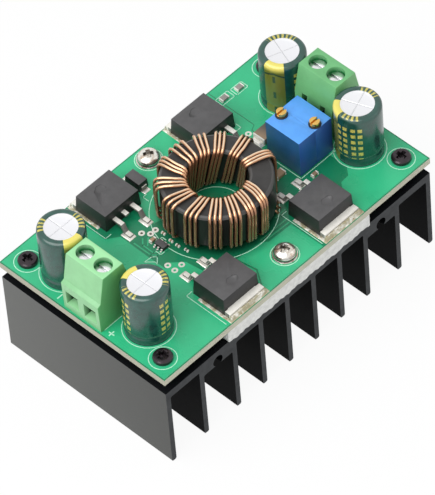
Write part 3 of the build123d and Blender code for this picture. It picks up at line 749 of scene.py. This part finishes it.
def turned(bm, profile, x=0.0, y=0.0, steps=None, closed=False):
    """Spins a profile of (radius, height) points round an upright axis."""
    count = len(bm.verts)
    verts = [bm.verts.new((x + radius, y, height)) for radius, height in profile]
    edges = [bm.edges.new(pair) for pair in zip(verts, verts[1:])]
    if closed:
        edges.append(bm.edges.new((verts[-1], verts[0])))
    bmesh.ops.spin(
        bm, geom=verts + edges, cent=(x, y, 0), axis=(0, 0, 1), angle=2 * pi,
        steps=steps or bpy.context.scene.module_sizes.ring_steps, use_merge=True,
    )
    bmesh.ops.remove_doubles(bm, verts=newest(bm, count), dist=0.0005)
    faces = {face for vert in newest(bm, count) for face in vert.link_faces}
    bmesh.ops.recalc_face_normals(bm, faces=list(faces))
    return newest(bm, count)


def block(bm, x0, x1, y0, y1, z0, z1):
    """A box between two corners."""
    place = Matrix.Translation(((x0 + x1) / 2, (y0 + y1) / 2, (z0 + z1) / 2))
    scale = Matrix.Diagonal((abs(x1 - x0), abs(y1 - y0), abs(z1 - z0), 1))
    return bmesh.ops.create_cube(bm, size=1.0, matrix=place @ scale)["verts"]


def bar(bm, start, end, width, z0, z1):
    """A straight strip between two plan points."""
    run = hypot(end[0] - start[0], end[1] - start[1])
    turn = atan2(end[1] - start[1], end[0] - start[0])
    place = Matrix.Translation(((start[0] + end[0]) / 2, (start[1] + end[1]) / 2, (z0 + z1) / 2))
    scale = Matrix.Diagonal((run + width, width, z1 - z0, 1))
    bmesh.ops.create_cube(bm, size=1.0, matrix=place @ Matrix.Rotation(turn, 4, "Z") @ scale)


def path(bm, points, width, z0, z1):
    """Straight strips from plan point to plan point."""
    for start, end in zip(points, points[1:]):
        bar(bm, start, end, width, z0, z1)


def hoop(bm, x, y, radius, width, z0, z1, steps=None):
    """A flat ring."""
    inner, outer = radius - width / 2, radius + width / 2
    turned(bm, [(inner, z0), (outer, z0), (outer, z1), (inner, z1)], x, y, steps, closed=True)


def mound(bm, x0, x1, y0, y1, z0, z1, draw=0.35, rounding=0.12):
    """A low heap of solder: a box drawn in at the top, with soft edges."""
    verts = block(bm, x0, x1, y0, y1, z0, z1)
    middle = Vector(((x0 + x1) / 2, (y0 + y1) / 2, 0))
    reach = min(abs(x1 - x0), abs(y1 - y0)) / 2
    for vert in verts:
        if vert.co.z > (z0 + z1) / 2:
            for axis in (0, 1):
                side = 1 if vert.co[axis] > middle[axis] else -1
                vert.co[axis] -= side * min(draw, reach * 0.8)
    edges = {edge for vert in verts for edge in vert.link_edges if vert.co.z > (z0 + z1) / 2}
    soften(bm, list(edges), min(rounding, reach * 0.4))


def slab(bm, outline, z0, z1):
    """A flat plate with any outline."""
    verts = [bm.verts.new((x, y, z0)) for x, y in outline]
    face = bm.faces.new(verts)
    lifted = bmesh.ops.extrude_face_region(bm, geom=[face])["geom"]
    top = [part for part in lifted if isinstance(part, bmesh.types.BMVert)]
    bmesh.ops.translate(bm, vec=(0, 0, z1 - z0), verts=top)
    faces = {f for vert in verts + top for f in vert.link_faces}
    bmesh.ops.recalc_face_normals(bm, faces=list(faces))


def carve(bm, cutter):
    """Takes one mesh away from another and gives back the result."""
    carved, tool = mesh_object("carved", bm), mesh_object("cutter", cutter)
    cut = carved.modifiers.new("cut", "BOOLEAN")
    cut.operation = "DIFFERENCE"
    cut.solver = "EXACT"
    cut.use_self = True
    cut.object = tool
    result = bmesh.new()
    result.from_mesh(final_mesh(carved))
    bpy.data.objects.remove(carved)
    bpy.data.objects.remove(tool)
    return result


def cross_recess(bm, x, y, top, turn, reach, depth):
    """Cutter for a cross recess whose four arms narrow downwards."""
    half, past = 0.5, 0.6
    for arm in (turn, turn + 90):
        verts = block(bm, -reach, reach, -half, half, -depth, past)
        for vert in verts:
            if vert.co.z < 0:
                vert.co.x *= 0.5
                vert.co.y *= 0.8
        place = Matrix.Translation((x, y, top)) @ Matrix.Rotation(radians(arm), 4, "Z")
        bmesh.ops.transform(bm, matrix=place, verts=verts)


# Operators


class MODULE_OT_heatsink(bpy.types.Operator):
    """Finish the extrusion and lay the soft pad on it"""

    bl_idname = "module.heatsink"
    bl_label = "Heatsink and pad"

    def execute(self, context):
        finish_node("heatsink", anodised_finish())
        low, high = node_box("thermal_pad")
        rim, waves, layers = size("pad_rim"), 110, 3
        # The pad's long edges are cut by hand: they wander in and out and hang a little
        bm = bmesh.new()
        block(bm, low.x, high.x, low.y - rim, high.y + rim, low.z, high.z)
        for side in (low.y, high.y):
            everything = bm.verts[:] + bm.edges[:] + bm.faces[:]
            bmesh.ops.bisect_plane(bm, geom=everything, plane_co=(0, side, 0), plane_no=(0, 1, 0))
        long_edges = [e for e in bm.edges if abs(e.verts[0].co.x - e.verts[1].co.x) > 1]
        bmesh.ops.subdivide_edges(bm, edges=long_edges, cuts=waves, use_grid_fill=True)
        short = [e for e in bm.edges if abs(e.verts[0].co.z - e.verts[1].co.z) > 1]
        bmesh.ops.subdivide_edges(bm, edges=short, cuts=layers, use_grid_fill=True)
        for vert in bm.verts:
            if abs(vert.co.y) < high.y + rim / 2:
                continue
            x, z = vert.co.x, vert.co.z
            wander = sin(x * 1.9 + z) + 0.7 * sin(x * 4.3 - 2 * z)
            vert.co.y -= (1 if vert.co.y > 0 else -1) * rim * 0.2 * (1 + wander)
            if z < low.z + 0.1:
                vert.co.z -= 0.3 + 0.16 * sin(x * 1.3) + 0.12 * sin(x * 3.7 + 1)
        place_piece(bm, pad_finish(), "soft_pad", "thermal_pad")
        return {"FINISHED"}


class MODULE_OT_board(bpy.types.Operator):
    """Finish the board and add its copper areas, outline marks and hole rings"""

    bl_idname = "module.board"
    bl_label = "Circuit board"

    # Plan points; each comment says where the area lies
    copper_areas = (
        # round the input terminal, the near capacitor and the first transistor
        ((-38.8, -23.2), (-8.9, -23.2), (-8.8, -21.4), (-6.2, -17.4), (-7.0, -12.4), (-13.4, -9.4),
         (-14.0, -5.1), (-16.6, -2.5), (-18.0, -3.4), (-18.1, 1.1), (-18.0, 9.6), (-20.6, 11.5),
         (-20.6, 23.2), (-38.8, 23.2)),
        # between the near transistors
        ((-8.5, -23.2), (-8.4, -21.4), (-5.8, -17.4), (-6.6, -12.4), (-0.2, -12.9), (1.0, -14.1),
         (7.4, -14.3), (7.4, -23.2)),
        # near right corner
        ((19.7, -23.2), (19.7, -17.5), (22.3, -14.3), (24.6, -14.1), (26.1, -12.3), (26.5, 5.0),
         (38.8, 5.0), (38.8, -23.2)),
        # far right corner
        ((22.0, 23.2), (22.0, 10.0), (20.6, 9.3), (20.6, 5.6), (38.8, 5.6), (38.8, 23.2)),
        # far side of the inductor
        ((-11.0, 7.0), (-11.8, 9.3), (-9.5, 11.9), (-8.0, 14.4), (-8.0, 23.2), (21.8, 23.2),
         (21.8, 10.1), (20.4, 9.4), (20.4, 7.0), (14.0, 4.0), (0.0, 11.0), (-8.0, 6.0)),
        # inside the inductor's bore
        ((-6.4, 3.0), (-4.0, 5.8), (0.9, 6.4), (1.0, 2.7), (2.1, 1.1), (2.0, -6.5), (-5.0, -5.5),
         (-6.8, -2.0)),
    )
    traces = (
        ((-17.4, 6.2), (-17.4, 1.5), (-16.5, 0.4), (-13.8, 0.0)),
        ((-15.4, 5.8), (-16.6, 4.6), (-16.6, 1.5), (-15.5, 0.7), (-12.0, 0.9)),
        ((-14.5, 5.1), (-16.0, 3.8)),
        ((7.6, -12.6), (0.3, -12.5)),
        ((7.4, -13.6), (1.4, -13.3)),
        ((6.6, -10.7), (9.4, -10.6)),
    )
    trace_width = 0.28
    holes = (
        (-14.5, 7.0), (-13.4, 5.5), (-12.0, 5.5), (-17.1, -3.0), (-17.1, -5.0), (-15.1, -5.0), (19.3, 9.2),
    )
    # Middle, radius and steps of the two rings round the inductor
    coil_rings = ((-0.3, 0.1, 13.35, 120), (0.0, 0.1, 6.1, None))
    corner_ring, middle_ring, capacitor_ring = 2.92, 3.0, 5.55
    outlines = (
        # corners of the power packages
        ((-18.9, -11.5), (-20.4, -11.5), (-20.4, -22.6)),
        ((9.2, -11.2), (7.8, -11.2), (7.8, -22.6)),
        ((-18.9, 11.5), (-20.4, 11.5), (-20.4, 22.6)),
        ((-7.4, 12.0), (-7.4, 13.6), (-6.4, 13.6)),
        ((18.0, 11.6), (19.6, 11.6), (19.6, 13.0)),
        # input terminal, driver and its arrow
        ((-37.6, -5.3), (-29.2, -5.3)),
        ((-16.0, 1.4), (-16.0, 0.0), (-15.0, 0.0)),
        ((-13.4, 3.1), (-12.5, 3.1), (-12.5, 2.0)),
        ((-19.6, 1.2), (-17.6, 1.0), (-16.9, 0.2), (-18.3, -1.2), (-18.1, -0.5), (-19.6, 1.2)),
        # the two chips in the far corner
        ((21.4, 18.6), (21.4, 20.8), (25.0, 20.8), (25.0, 18.6), (21.4, 18.6)),
        ((25.6, 18.4), (25.6, 20.5), (28.8, 20.5), (28.8, 18.4), (25.6, 18.4)),
    )
    trimmer_gap = 0.45
    # Plus and minus at the input: ends of each stroke, and its height over the rest
    strokes = (
        ((-38.0, -7.0), (-36.8, -7.0), 0.0),
        ((-37.4, -7.6), (-37.4, -6.4), 0.005),
        ((-38.0, 7.7), (-36.8, 7.7), 0.0),
    )

    def execute(self, context):
        level = board_level()
        masked = level + size("copper_thick")
        finish_node("circuit_board", board_finish("solder_mask", picked("mask_bare")))
        bm = bmesh.new()
        for outline in self.copper_areas:
            slab(bm, outline, level, masked)
        for points in self.traces:
            path(bm, points, self.trace_width, level, masked)
        finish = board_finish("mask_on_copper", picked("mask_copper"))
        place_piece(bm, finish, "copper_areas")
        self.marks(masked)
        self.hole_rings(level)
        return {"FINISHED"}

    def marks(self, level):
        bm = bmesh.new()
        width = size("ink_width")
        top = level + size("ink_thick")
        rings = list(self.coil_rings)
        for node, radius in (("corner_screws", self.corner_ring), ("middle_screws", self.middle_ring)):
            rings += [(x, y, radius, None) for x, y in screw_places(node)]
        for number in range(1, 5):
            middle = node_middle(f"capacitor_{number}_sleeve")
            rings.append((middle.x, middle.y, self.capacitor_ring, None))
        for x, y, radius, steps in rings:
            hoop(bm, x, y, radius, width, level, top, steps)
        for outline in self.outlines:
            path(bm, outline, width, level, top)
        gap = self.trimmer_gap
        near, far = node_box("trimmer_1_body")[0], node_box("trimmer_2_body")[1]
        left, right, front, back = near.x - gap, far.x + gap, near.y - gap, far.y + gap
        frame_round = ((left, front), (right, front), (right, back), (left, back), (left, front))
        path(bm, frame_round, width, level, top)
        for start, end, rise in self.strokes:
            bar(bm, start, end, width * 1.7, level, top + rise)
        place_piece(bm, ink_finish(), "outline_marks")

    def hole_rings(self, level):
        bm = bmesh.new()
        radius, width, rise = 0.5, 0.42, 0.06
        for x, y in self.holes:
            hoop(bm, x, y, radius, width, level, level + rise, 28)
        plating = metal_finish("hole_plating", picked("solder"), 0.4, 0.005, 2.0, 0.1, 0.3)
        place_piece(bm, plating, "hole_rings")


def screw_places(node):
    """Plan points of the four or two screws that one CAD node holds, in from its box by a head's radius."""
    low, high = node_box(node)
    corners = node == "corner_screws"
    head = 2.15 if corners else 2.75
    across = (low.x + head, high.x - head) if corners else ((low.x + high.x) / 2,)
    return [(x, y) for x in across for y in (low.y + head, high.y - head)]


class MODULE_OT_screws(bpy.types.Operator):
    """Model the black corner screws and the bright middle screws with their cross recesses"""

    bl_idname = "module.screws"
    bl_label = "Screws"

    def execute(self, context):
        level = board_level()
        black = metal_finish("black_oxide", paint(70, 63, 67), 0.2, 0.02, 2.0, 0.2, 0.85)
        self.set_of(
            "corner_screws", "black_steel", black, level,
            ((0, 0), (1.45, 0), (1.85, 0.1), (2.1, 0.4), (2.15, 0.8), (2.08, 1.22), (1.25, 1.22)),
            turns=(10, 0, 3, 20), reach=1.5, depth=0.95,
        )
        self.set_of(
            "middle_screws", "nickel", nickel_finish(level), level,
            ((0, 0), (0.8, 0.03), (1.5, 0.2), (2.1, 0.58), (2.44, 1.1), (2.5, 1.5), (2.4, 1.66),
             (2.66, 1.7), (2.75, 1.82), (2.72, 2.1), (1.5, 2.1)),
            turns=(20, 55), reach=1.4, depth=1.1,
        )
        return {"FINISHED"}

    @staticmethod
    def set_of(node, slot, material, level, crown, turns, reach, depth):
        """crown holds (radius, distance below the top) points from the axis to the shank."""
        shank, height = crown[-1]
        top, tip = level + height, node_box(node)[0].z
        profile = [(radius, top - drop) for radius, drop in crown]
        profile += [(shank, tip + 0.6), (shank * 0.55, tip), (0, tip)]
        bm, cutter = bmesh.new(), bmesh.new()
        for (x, y), turn in zip(screw_places(node), turns):
            turned(bm, profile, x, y, 48)
            cross_recess(cutter, x, y, top, turn, reach, depth)
        bm = carve(bm, cutter)
        rims = [e for e in sharp_edges(bm, 40) if min(vert.co.z for vert in e.verts) > top - 0.4]
        soften(bm, rims, 0.08)
        bmesh.ops.remove_doubles(bm, verts=bm.verts, dist=0.002)
        place_piece(bm, material, node=node)


class MODULE_OT_capacitors(bpy.types.Operator):
    """Model the four cans with crimped sleeves, lips and vent crosses"""

    bl_idname = "module.capacitors"
    bl_label = "Capacitors"

    # Angles round each capacitor: stripe, columns of bars, rows of ticks, vent cross
    prints = (
        (-103.0, (-55.0,), (125.0, -25.0), 0.0),
        (93.0, (-88.0, 168.0), (-30.0, 176.0), 2.0),
        (-158.0, (-96.0,), (32.0, 62.0), 70.0),
        (144.0, (-141.0, -178.0), (5.0, -158.0), 20.0),
    )
    # Profiles as (inset from the outside, height). Heights count from the foot,
    # and those of sleeve_lip and can_top from the top.
    sleeve_foot = ((0, 0), (0, 1.3), (0.06, 1.65), (0.2, 2.0), (0.2, 2.2), (0.06, 2.55), (0, 2.9))
    sleeve_lip = (
        (0, -1.0), (0.04, -0.62), (0.18, -0.3), (0.42, -0.1), (0.75, 0), (1.4, 0), (1.5, -0.05),
        (1.5, -0.13), (0.75, -0.13), (0.5, -0.22), (0.28, -0.42), (0.14, -0.75),
    )
    sleeve_lining = ((0.13, 3.0), (0.3, 2.1), (0.13, 1.3), (0.13, 0))
    can_top = ((1.9, -0.12), (1.65, -0.05), (1.5, 0), (0.8, 0), (0.45, -0.12), (0.2, -0.4), (0.02, -0.8))
    can_foot = ((0.02, 3.0), (0.2, 2.1), (0.02, 1.3), (0.02, 0), (0.4, 0), (0.4, 1.2))
    film_thick = 0.15

    def execute(self, context):
        for number, (stripe, columns, rows, vent) in enumerate(self.prints, 1):
            can, sleeve = f"capacitor_{number}_can", f"capacitor_{number}_sleeve"
            low, high = node_box(sleeve)
            x, y = (low.x + high.x) / 2, (low.y + high.y) / 2
            outer, foot, top = (high.x - low.x) / 2, low.z, high.z
            bm = bmesh.new()
            shell = self.drawn(outer, foot, self.sleeve_foot) + self.drawn(outer, top, self.sleeve_lip)
            turned(bm, shell + self.drawn(outer, foot, self.sleeve_lining), x, y, closed=True)
            film = sleeve_finish(number, low, high, stripe, columns, rows)
            place_piece(bm, film, node=sleeve, crease=50)
            bm = bmesh.new()
            outer, top = outer - self.film_thick, top - self.film_thick
            wall = self.drawn(outer, top, self.can_top) + self.drawn(outer, foot, self.can_foot)
            turned(bm, [(0, wall[0][1]), *wall, (0, wall[-1][1])], x, y)
            place_piece(bm, can_finish(number, x, y, vent), node=can)
        return {"FINISHED"}

    @staticmethod
    def drawn(outer, level, points):
        return [(outer - inset, level + height) for inset, height in points]


class MODULE_OT_terminals(bpy.types.Operator):
    """Round the terminal housings and finish their screws, cages and contacts"""

    bl_idname = "module.terminals"
    bl_label = "Screw terminals"

    def execute(self, context):
        zinc = metal_finish("zinc_plate", paint(240, 240, 242), 0.22, 0.015, 1.6)
        tinned = metal_finish("tinned_contact", picked("solder"), 0.3)
        for side in ("input", "output"):
            housing = f"{side}_terminal_housing"
            rounded_node(housing, terminal_finish(side), size("moulded_edge"))
            finish_node(f"{side}_terminal_contacts", tinned)
            for number in (1, 2):
                for kind in ("screw", "cage"):
                    name = f"{side}_{kind}_{number}"
                    rounded_node(name, zinc, size("metal_edge"), name)
        return {"FINISHED"}


class MODULE_OT_trimmers(bpy.types.Operator):
    """Round the trimmer cases and finish screws, collars and inner parts"""

    bl_idname = "module.trimmers"
    bl_label = "Trimmers"

    # Collar's profile: distance out from the screw, height over the case
    collar = ((0.02, 0), (0.26, 0), (0.26, 0.2), (0.18, 0.3), (0.02, 0.3))

    def execute(self, context):
        blue = trimmer_finish()
        brass = metal_finish("turned_brass", picked("brass"), 0.24, 0.01, 2.2)
        potting = mottled_plastic("potting", paint(40, 62, 120), 0.5)
        strip = mottled_plastic("element_strip", paint(214, 206, 188), 0.4)
        collar = mottled_plastic("collar", paint(28, 28, 30), 0.5)
        for number in (1, 2):
            rounded_node(f"trimmer_{number}_body", blue, 0.14)
            finish_node(f"trimmer_{number}_base", potting)
            finish_node(f"trimmer_{number}_element", strip)
            for kind in ("screw", "wiper"):
                name = f"trimmer_{number}_{kind}"
                rounded_node(name, brass, size("metal_edge"), name)
        bm = bmesh.new()
        for number in (1, 2):
            low, high = node_box(f"trimmer_{number}_screw")
            case = node_box(f"trimmer_{number}_body")[1].z
            profile = [((high.x - low.x) / 2 + out, case + up) for out, up in self.collar]
            turned(bm, profile, (low.x + high.x) / 2, (low.y + high.y) / 2, 48, closed=True)
        place_piece(bm, collar, "collars_shown", "trimmer_collars")
        finish_node("trimmer_pins", metal_finish("pin_tin", picked("solder")))
        return {"FINISHED"}


class MODULE_OT_transistors(bpy.types.Operator):
    """Round the power packages, the diode and the driver, and solder them down"""

    bl_idname = "module.transistors"
    bl_label = "Power packages"

    lead_half_pitch = 2.54
    film, film_spread = 0.14, 0.12
    # A foot's land: reach left and right of the lead, past the foot and back under the lead
    foot_land = (1.2, 0.8, 0.55, 2.2)
    # The tab's land and the heap on it: half width, reach past and under the tab, height, draw, rounding
    tab_mounds = ((5.7, 0.95, 1.3, 0.14, 0.1, 0.12), (5.3, 0.75, 0.2, 0.95, 0.3, 0.2))
    edge_margin = 0.15

    def execute(self, context):
        level = board_level()
        epoxy = epoxy_finish()
        tin = lead_finish()
        heap = heap_finish()
        clean = metal_finish("clean_solder", picked("solder"), 0.3, 0.02, 1.5, 0.06, 0.5)
        feet, strips = bmesh.new(), bmesh.new()
        for number in range(1, 5):
            self.package(number, epoxy)
            rounded_node(f"transistor_{number}_metal", tin, 0.06)
            self.lands(feet, strips, number, level)
        for name in ("diode_body", "driver_body", "controller_body"):
            rounded_node(name, epoxy, 0.08)
        for name in ("diode_leads", "driver_pins", "controller_pins"):
            finish_node(name, tin)
        diode = node_middle("diode_leads")
        for side in (-1, 1):
            x, y = diode.x, diode.y + side * 2.55
            mound(feet, x - 0.95, x + 0.95, y - 0.75, y + 0.75, level, level + self.film, self.film_spread)
        place_piece(feet, clean, "foot_solder")
        place_piece(strips, heap, "tab_solder")
        return {"FINISHED"}

    @staticmethod
    def package(number, epoxy):
        """A moulded body with a shallow round ejector mark on top, nearer to the tab."""
        name = f"transistor_{number}_body"
        low, high = node_box(name)
        out = 1 if high.y > 0 else -1
        x, y = (low.x + high.x) / 2 - out, (low.y + high.y) / 2 + out * 1.65
        cutter = bmesh.new()
        sunk, past = high.z - 0.08, high.z + 0.5
        turned(cutter, [(0, sunk), (0.8, sunk), (0.85, past), (0, past)], x, y, 40)
        place_piece(carve(rounded_copy(name, 0.16), cutter), epoxy, node=name)

    def lands(self, feet, strips, number, level):
        """Solder under the two feet, along the tab and beside the body, kept inside the board's edge."""
        low, high = node_box(f"transistor_{number}_metal")
        x = (low.x + high.x) / 2
        out, tab, foot = (1, high.y, low.y) if high.y > 0 else (-1, low.y, high.y)
        film = level + self.film
        left, right, past, back = self.foot_land
        for side in (-1, 1):
            pin, ends = x + side * self.lead_half_pitch, (foot - out * past, foot + out * back)
            mound(feet, pin - left, pin + right, *ends, level, film, self.film_spread)
        edge = node_box("circuit_board")[1].y - self.edge_margin
        for half, past, under, height, *shape in self.tab_mounds:
            ends = out * min(abs(tab) + past, edge), tab - out * under
            mound(strips, x - half, x + half, *ends, level, level + height, *shape)
        mound(strips, x - 5.75, x - 4.9, tab - out, tab - out * 8.5, level, film, 0.1)


class MODULE_OT_inductor(bpy.types.Operator):
    """Turn the coated core and lace its three-strand winding"""

    bl_idname = "module.inductor"
    bl_label = "Inductor"

    # Each turn: angle and strand step at the outside, angle and strand step in the bore, looseness
    turns = (
        (-20.0, 3.4, -20.0, 7.0, 0.5),
        (12.6, 4.3, 9.5, 7.4, 0.1),
        (40.0, 4.1, 39.5, 7.1, 0.05),
        (61.3, 5.0, 64.3, 7.4, 0.1),
        (87.0, 7.0, 91.0, 9.0, 0.25),
        (111.5, 4.9, 124.8, 7.5, 0.25),
        (142.3, 6.0, 151.0, 7.6, 0.4),
        (171.5, 6.6, 175.5, 6.7, 0.3),
        (198.5, 5.3, 204.5, 7.2, 0.2),
        (222.6, 5.0, 225.1, 6.7, 0.05),
        (242.5, 4.6, 245.5, 6.5, 0.05),
        (259.4, 3.5, 265.0, 6.5, 0.1),
        (275.0, 3.5, 288.3, 6.5, 0.2),
    )
    lead_in = -21.0
    lead_out = 312.0
    lead_step = 6.4
    bore_slant = 22.0
    inner_bend = 2.2
    side_slant = 1.5
    lean = 2.0
    lean_axis = (0.741, -0.671, 0)
    bore = 6.7
    wire_gap = 0.06
    root_depth, root_length = 1.2, 3.0

    def execute(self, context):
        low, high = node_box("inductor_core")
        self.x, self.y = (low.x + high.x) / 2, (low.y + high.y) / 2
        self.outer = (high.x - low.x) / 2
        self.low, self.high = low.z, high.z
        self.core()
        self.winding()
        return {"FINISHED"}

    def core(self):
        rim, part = 0.65, 0.65 * 0.35
        inner, outer, low, high = self.bore, self.outer, self.low, self.high
        profile = [
            (inner, low + rim), (inner + part, low + part), (inner + rim, low),
            (outer - rim, low), (outer - part, low + part), (outer, low + rim),
            (outer, high - rim), (outer - part, high - part), (outer - rim, high),
            (inner + rim, high), (inner + part, high - part), (inner, high - rim),
        ]
        bm = bmesh.new()
        turned(bm, profile, self.x, self.y, 128, closed=True)
        bmesh.ops.transform(bm, matrix=self.leaning(), verts=bm.verts)
        place_piece(bm, core_finish(), "core_shown", "inductor_core", crease=20)

    def leaning(self):
        """The coil leans a little: its side towards the near edge stands higher."""
        middle = Matrix.Translation((self.x, self.y, (self.low + self.high) / 2))
        turn = Matrix.Rotation(-radians(self.lean), 4, Vector(self.lean_axis))
        return middle @ turn @ middle.inverted()

    def lace(self, strand):
        """Control points of one strand, from the board up and turn by turn back to it."""
        bend = size("wire_bend")
        half = size("wire") / 2 + self.wire_gap
        outer, inner = self.outer + half, self.bore - half
        low, high = self.low - half, self.high + half
        root = board_level() - self.root_depth
        leaning = self.leaning()
        points = []

        def add(radius, angle, height, level=False):
            point = Vector((
                self.x + radius * cos(radians(angle)), self.y + radius * sin(radians(angle)), height,
            ))
            points.append(tuple(point if level else leaning @ point))

        first = self.lead_in + strand * self.lead_step
        add(outer, first, root, level=True)
        add(outer, first, root + self.root_length, level=True)
        for number, (out, out_step, into, into_step, loose) in enumerate(self.turns):
            out += strand * out_step
            into += strand * into_step
            foot = out - self.side_slant
            if number:
                add(outer - bend, foot, low)
                add(outer + loose, foot, low)
                add(outer + loose, foot, low + bend)
            add(outer + loose * 1.3, out, high - bend)
            add(outer + loose * 0.7, out, high + loose * 0.3)
            share = bend / (outer - inner)
            add(outer - bend, out + (into - out) * share, high + loose * 0.8)
            share = 1 - self.inner_bend / (outer - inner)
            add(inner + self.inner_bend, out + (into - out) * share, high + loose * 0.4)
            add(inner, into, high)
            add(inner, into + self.bore_slant * 0.25, high - self.inner_bend)
            add(inner, into + self.bore_slant * 0.75, low + self.inner_bend)
            add(inner, into + self.bore_slant, low)
            add(inner + self.inner_bend, into + self.bore_slant, low)
        last = self.lead_out + strand * self.lead_step
        add(outer - bend, last, low)
        add(outer, last, low, level=True)
        add(outer, last, root, level=True)
        return points

    def winding(self):
        bm = bmesh.new()
        for strand in (-1, 0, 1):
            tube_along(bm, self.lace(strand), size("wire") / 2)
        bmesh.ops.remove_doubles(bm, verts=bm.verts, dist=0.001)
        bmesh.ops.recalc_face_normals(bm, faces=bm.faces)
        place_piece(bm, wire_finish(), "winding_shown", "inductor_winding", crease=60)


def tube_along(bm, points, radius):
    """A round wire along a smooth spline through the given control points."""
    curve = bpy.data.curves.new("strand", "CURVE")
    curve.dimensions = "3D"
    curve.bevel_depth = radius
    curve.bevel_resolution = 2
    curve.use_fill_caps = True
    curve.resolution_u = 3
    spline = curve.splines.new("NURBS")
    spline.points.add(len(points) - 1)
    for point, place in zip(spline.points, points):
        point.co = (*place, 1.0)
    spline.order_u = 3
    spline.use_endpoint_u = True
    wire = new_object("strand", curve)
    bm.from_mesh(final_mesh(wire))
    bpy.data.objects.remove(wire)


class MODULE_OT_chips(bpy.types.Operator):
    """Finish the chip parts and solder them down"""

    bl_idname = "module.chips"
    bl_label = "Chip parts"

    def execute(self, context):
        rounded_node("chip_bodies", chip_finish(), 0.05)
        ends = metal_finish("chip_end", picked("solder"), 0.4, 0.01, 2.0, 0.1, 0.1)
        level = board_level()
        bm = bmesh.new()
        for low, high in islands("chip_ends"):
            edge = 0.06 if high.x - low.x < 1 else 0.25
            mound(bm, low.x - edge, high.x + edge, low.y - edge, high.y + edge, level, level + 0.12, 0.1)
            if high.y - low.y > 3:
                # the biggest chip has a fillet of solder against its end
                mound(bm, low.x - 1.4, high.x, low.y, high.y, level, level + 0.9, 0.5)
        place_piece(bm, ends, "chip_solder")
        rounded_node("chip_ends", ends, 0.06)
        return {"FINISHED"}


class MODULE_OT_hidden(bpy.types.Operator):
    """Give plain finishes to the pieces that sit inside or below"""

    bl_idname = "module.hidden"
    bl_label = "Inner pieces"

    def execute(self, context):
        finish_node("spacer_rings", mottled_plastic("spacer", paint(60, 60, 62), 0.5))
        finish_node("capacitor_seals", mottled_plastic("seal", paint(40, 40, 42), 0.7))
        finish_node("capacitor_rolls", mottled_plastic("foil_roll", paint(188, 180, 164), 0.6))
        finish_node("capacitor_leads", metal_finish("lead_tin", picked("solder")))
        return {"FINISHED"}


class MODULE_OT_stage(bpy.types.Operator):
    """Set the camera, the soft lights, the pale world and the floor"""

    bl_idname = "module.stage"
    bl_label = "Stage"

    # Metres
    key_place, key_width = (-0.42, 0.02, 0.62), 0.9
    fill_place, fill_width = (0.45, -0.5, 0.5), 0.6
    floor_half = 3.0
    clip_near, clip_far = 0.05, 20.0

    def execute(self, context):
        stage = context.scene.module_stage
        self.camera(context, stage)
        self.light("key", self.key_place, self.key_width, stage.key_power)
        self.light("fill", self.fill_place, self.fill_width, stage.fill_power)
        self.world(context, stage)
        bm = bmesh.new()
        bmesh.ops.create_grid(bm, x_segments=2, y_segments=2, size=self.floor_half)
        floor = mesh_object("floor", bm)
        floor.data.materials.append(stage_finish())
        context.scene.view_settings.view_transform = "Standard"
        return {"FINISHED"}

    def camera(self, context, stage):
        back = Vector((
            sin(stage.azimuth) * cos(stage.elevation),
            -cos(stage.azimuth) * cos(stage.elevation),
            sin(stage.elevation),
        ))
        data = bpy.data.cameras.new("camera")
        data.lens = stage.lens
        data.clip_start = self.clip_near
        data.clip_end = self.clip_far
        camera = new_object("camera", data)
        camera.location = Vector((*stage.aim, board_level() * MM)) + back * stage.distance
        camera.rotation_mode = "QUATERNION"
        facing = (-back).to_track_quat("-Z", "Y")
        camera.rotation_quaternion = facing @ Euler((0, 0, -stage.roll)).to_quaternion()
        context.scene.camera = camera

    @staticmethod
    def light(name, place, width, power):
        data = bpy.data.lights.new(name, "AREA")
        data.shape = "DISK"
        data.size = width
        data.energy = power
        lamp = new_object(name, data)
        lamp.location = place
        lamp.rotation_mode = "QUATERNION"
        lamp.rotation_quaternion = (-Vector(place)).to_track_quat("-Z", "Y")

    @staticmethod
    def world(context, stage):
        graph = Graph(bpy.data.worlds.new("studio"))
        context.scene.world = graph.owner
        soft = graph.node(
            "ShaderNodeBackground", None, {"Color": (0.97, 0.985, 1.0, 1.0), "Strength": stage.dome},
        )
        white = graph.node("ShaderNodeBackground", None, {"Color": (1.0, 1.0, 1.0, 1.0), "Strength": 1.0})
        mix = graph.node("ShaderNodeMixShader", None, (graph.shown_rays(), soft, white))
        graph.node("ShaderNodeOutputWorld", None, (mix,))


class MODULE_PT_sidebar(bpy.types.Panel):
    """Lists the module's pieces and settings"""

    bl_idname = "MODULE_PT_sidebar"
    bl_label = "Converter module"
    bl_space_type = "VIEW_3D"
    bl_region_type = "UI"
    bl_category = "Module"

    def draw(self, context):
        for operator in OPERATORS:
            self.layout.operator(operator.bl_idname)
        for group in (context.scene.module_sizes, context.scene.module_colours, context.scene.module_stage):
            box = self.layout.box()
            for name in group.__annotations__:
                box.prop(group, name)


OPERATORS = (
    MODULE_OT_heatsink,
    MODULE_OT_board,
    MODULE_OT_screws,
    MODULE_OT_capacitors,
    MODULE_OT_terminals,
    MODULE_OT_trimmers,
    MODULE_OT_transistors,
    MODULE_OT_inductor,
    MODULE_OT_chips,
    MODULE_OT_hidden,
    MODULE_OT_stage,
)
GROUPS = {
    "module_colours": ModuleColours,
    "module_sizes": ModuleSizes,
    "module_stage": ModuleStage,
}


def register():
    for cls in (*GROUPS.values(), *OPERATORS, MODULE_PT_sidebar):
        bpy.utils.register_class(cls)
    for name, group in GROUPS.items():
        setattr(bpy.types.Scene, name, PointerProperty(type=group))


def unregister():
    for name in GROUPS:
        delattr(bpy.types.Scene, name)
    for cls in reversed((*GROUPS.values(), *OPERATORS, MODULE_PT_sidebar)):
        bpy.utils.unregister_class(cls)


def main():
    register()
    for operator in OPERATORS:
        group, name = operator.bl_idname.split(".")
        getattr(getattr(bpy.ops, group), name)()


if __name__ == "__main__":
    main()
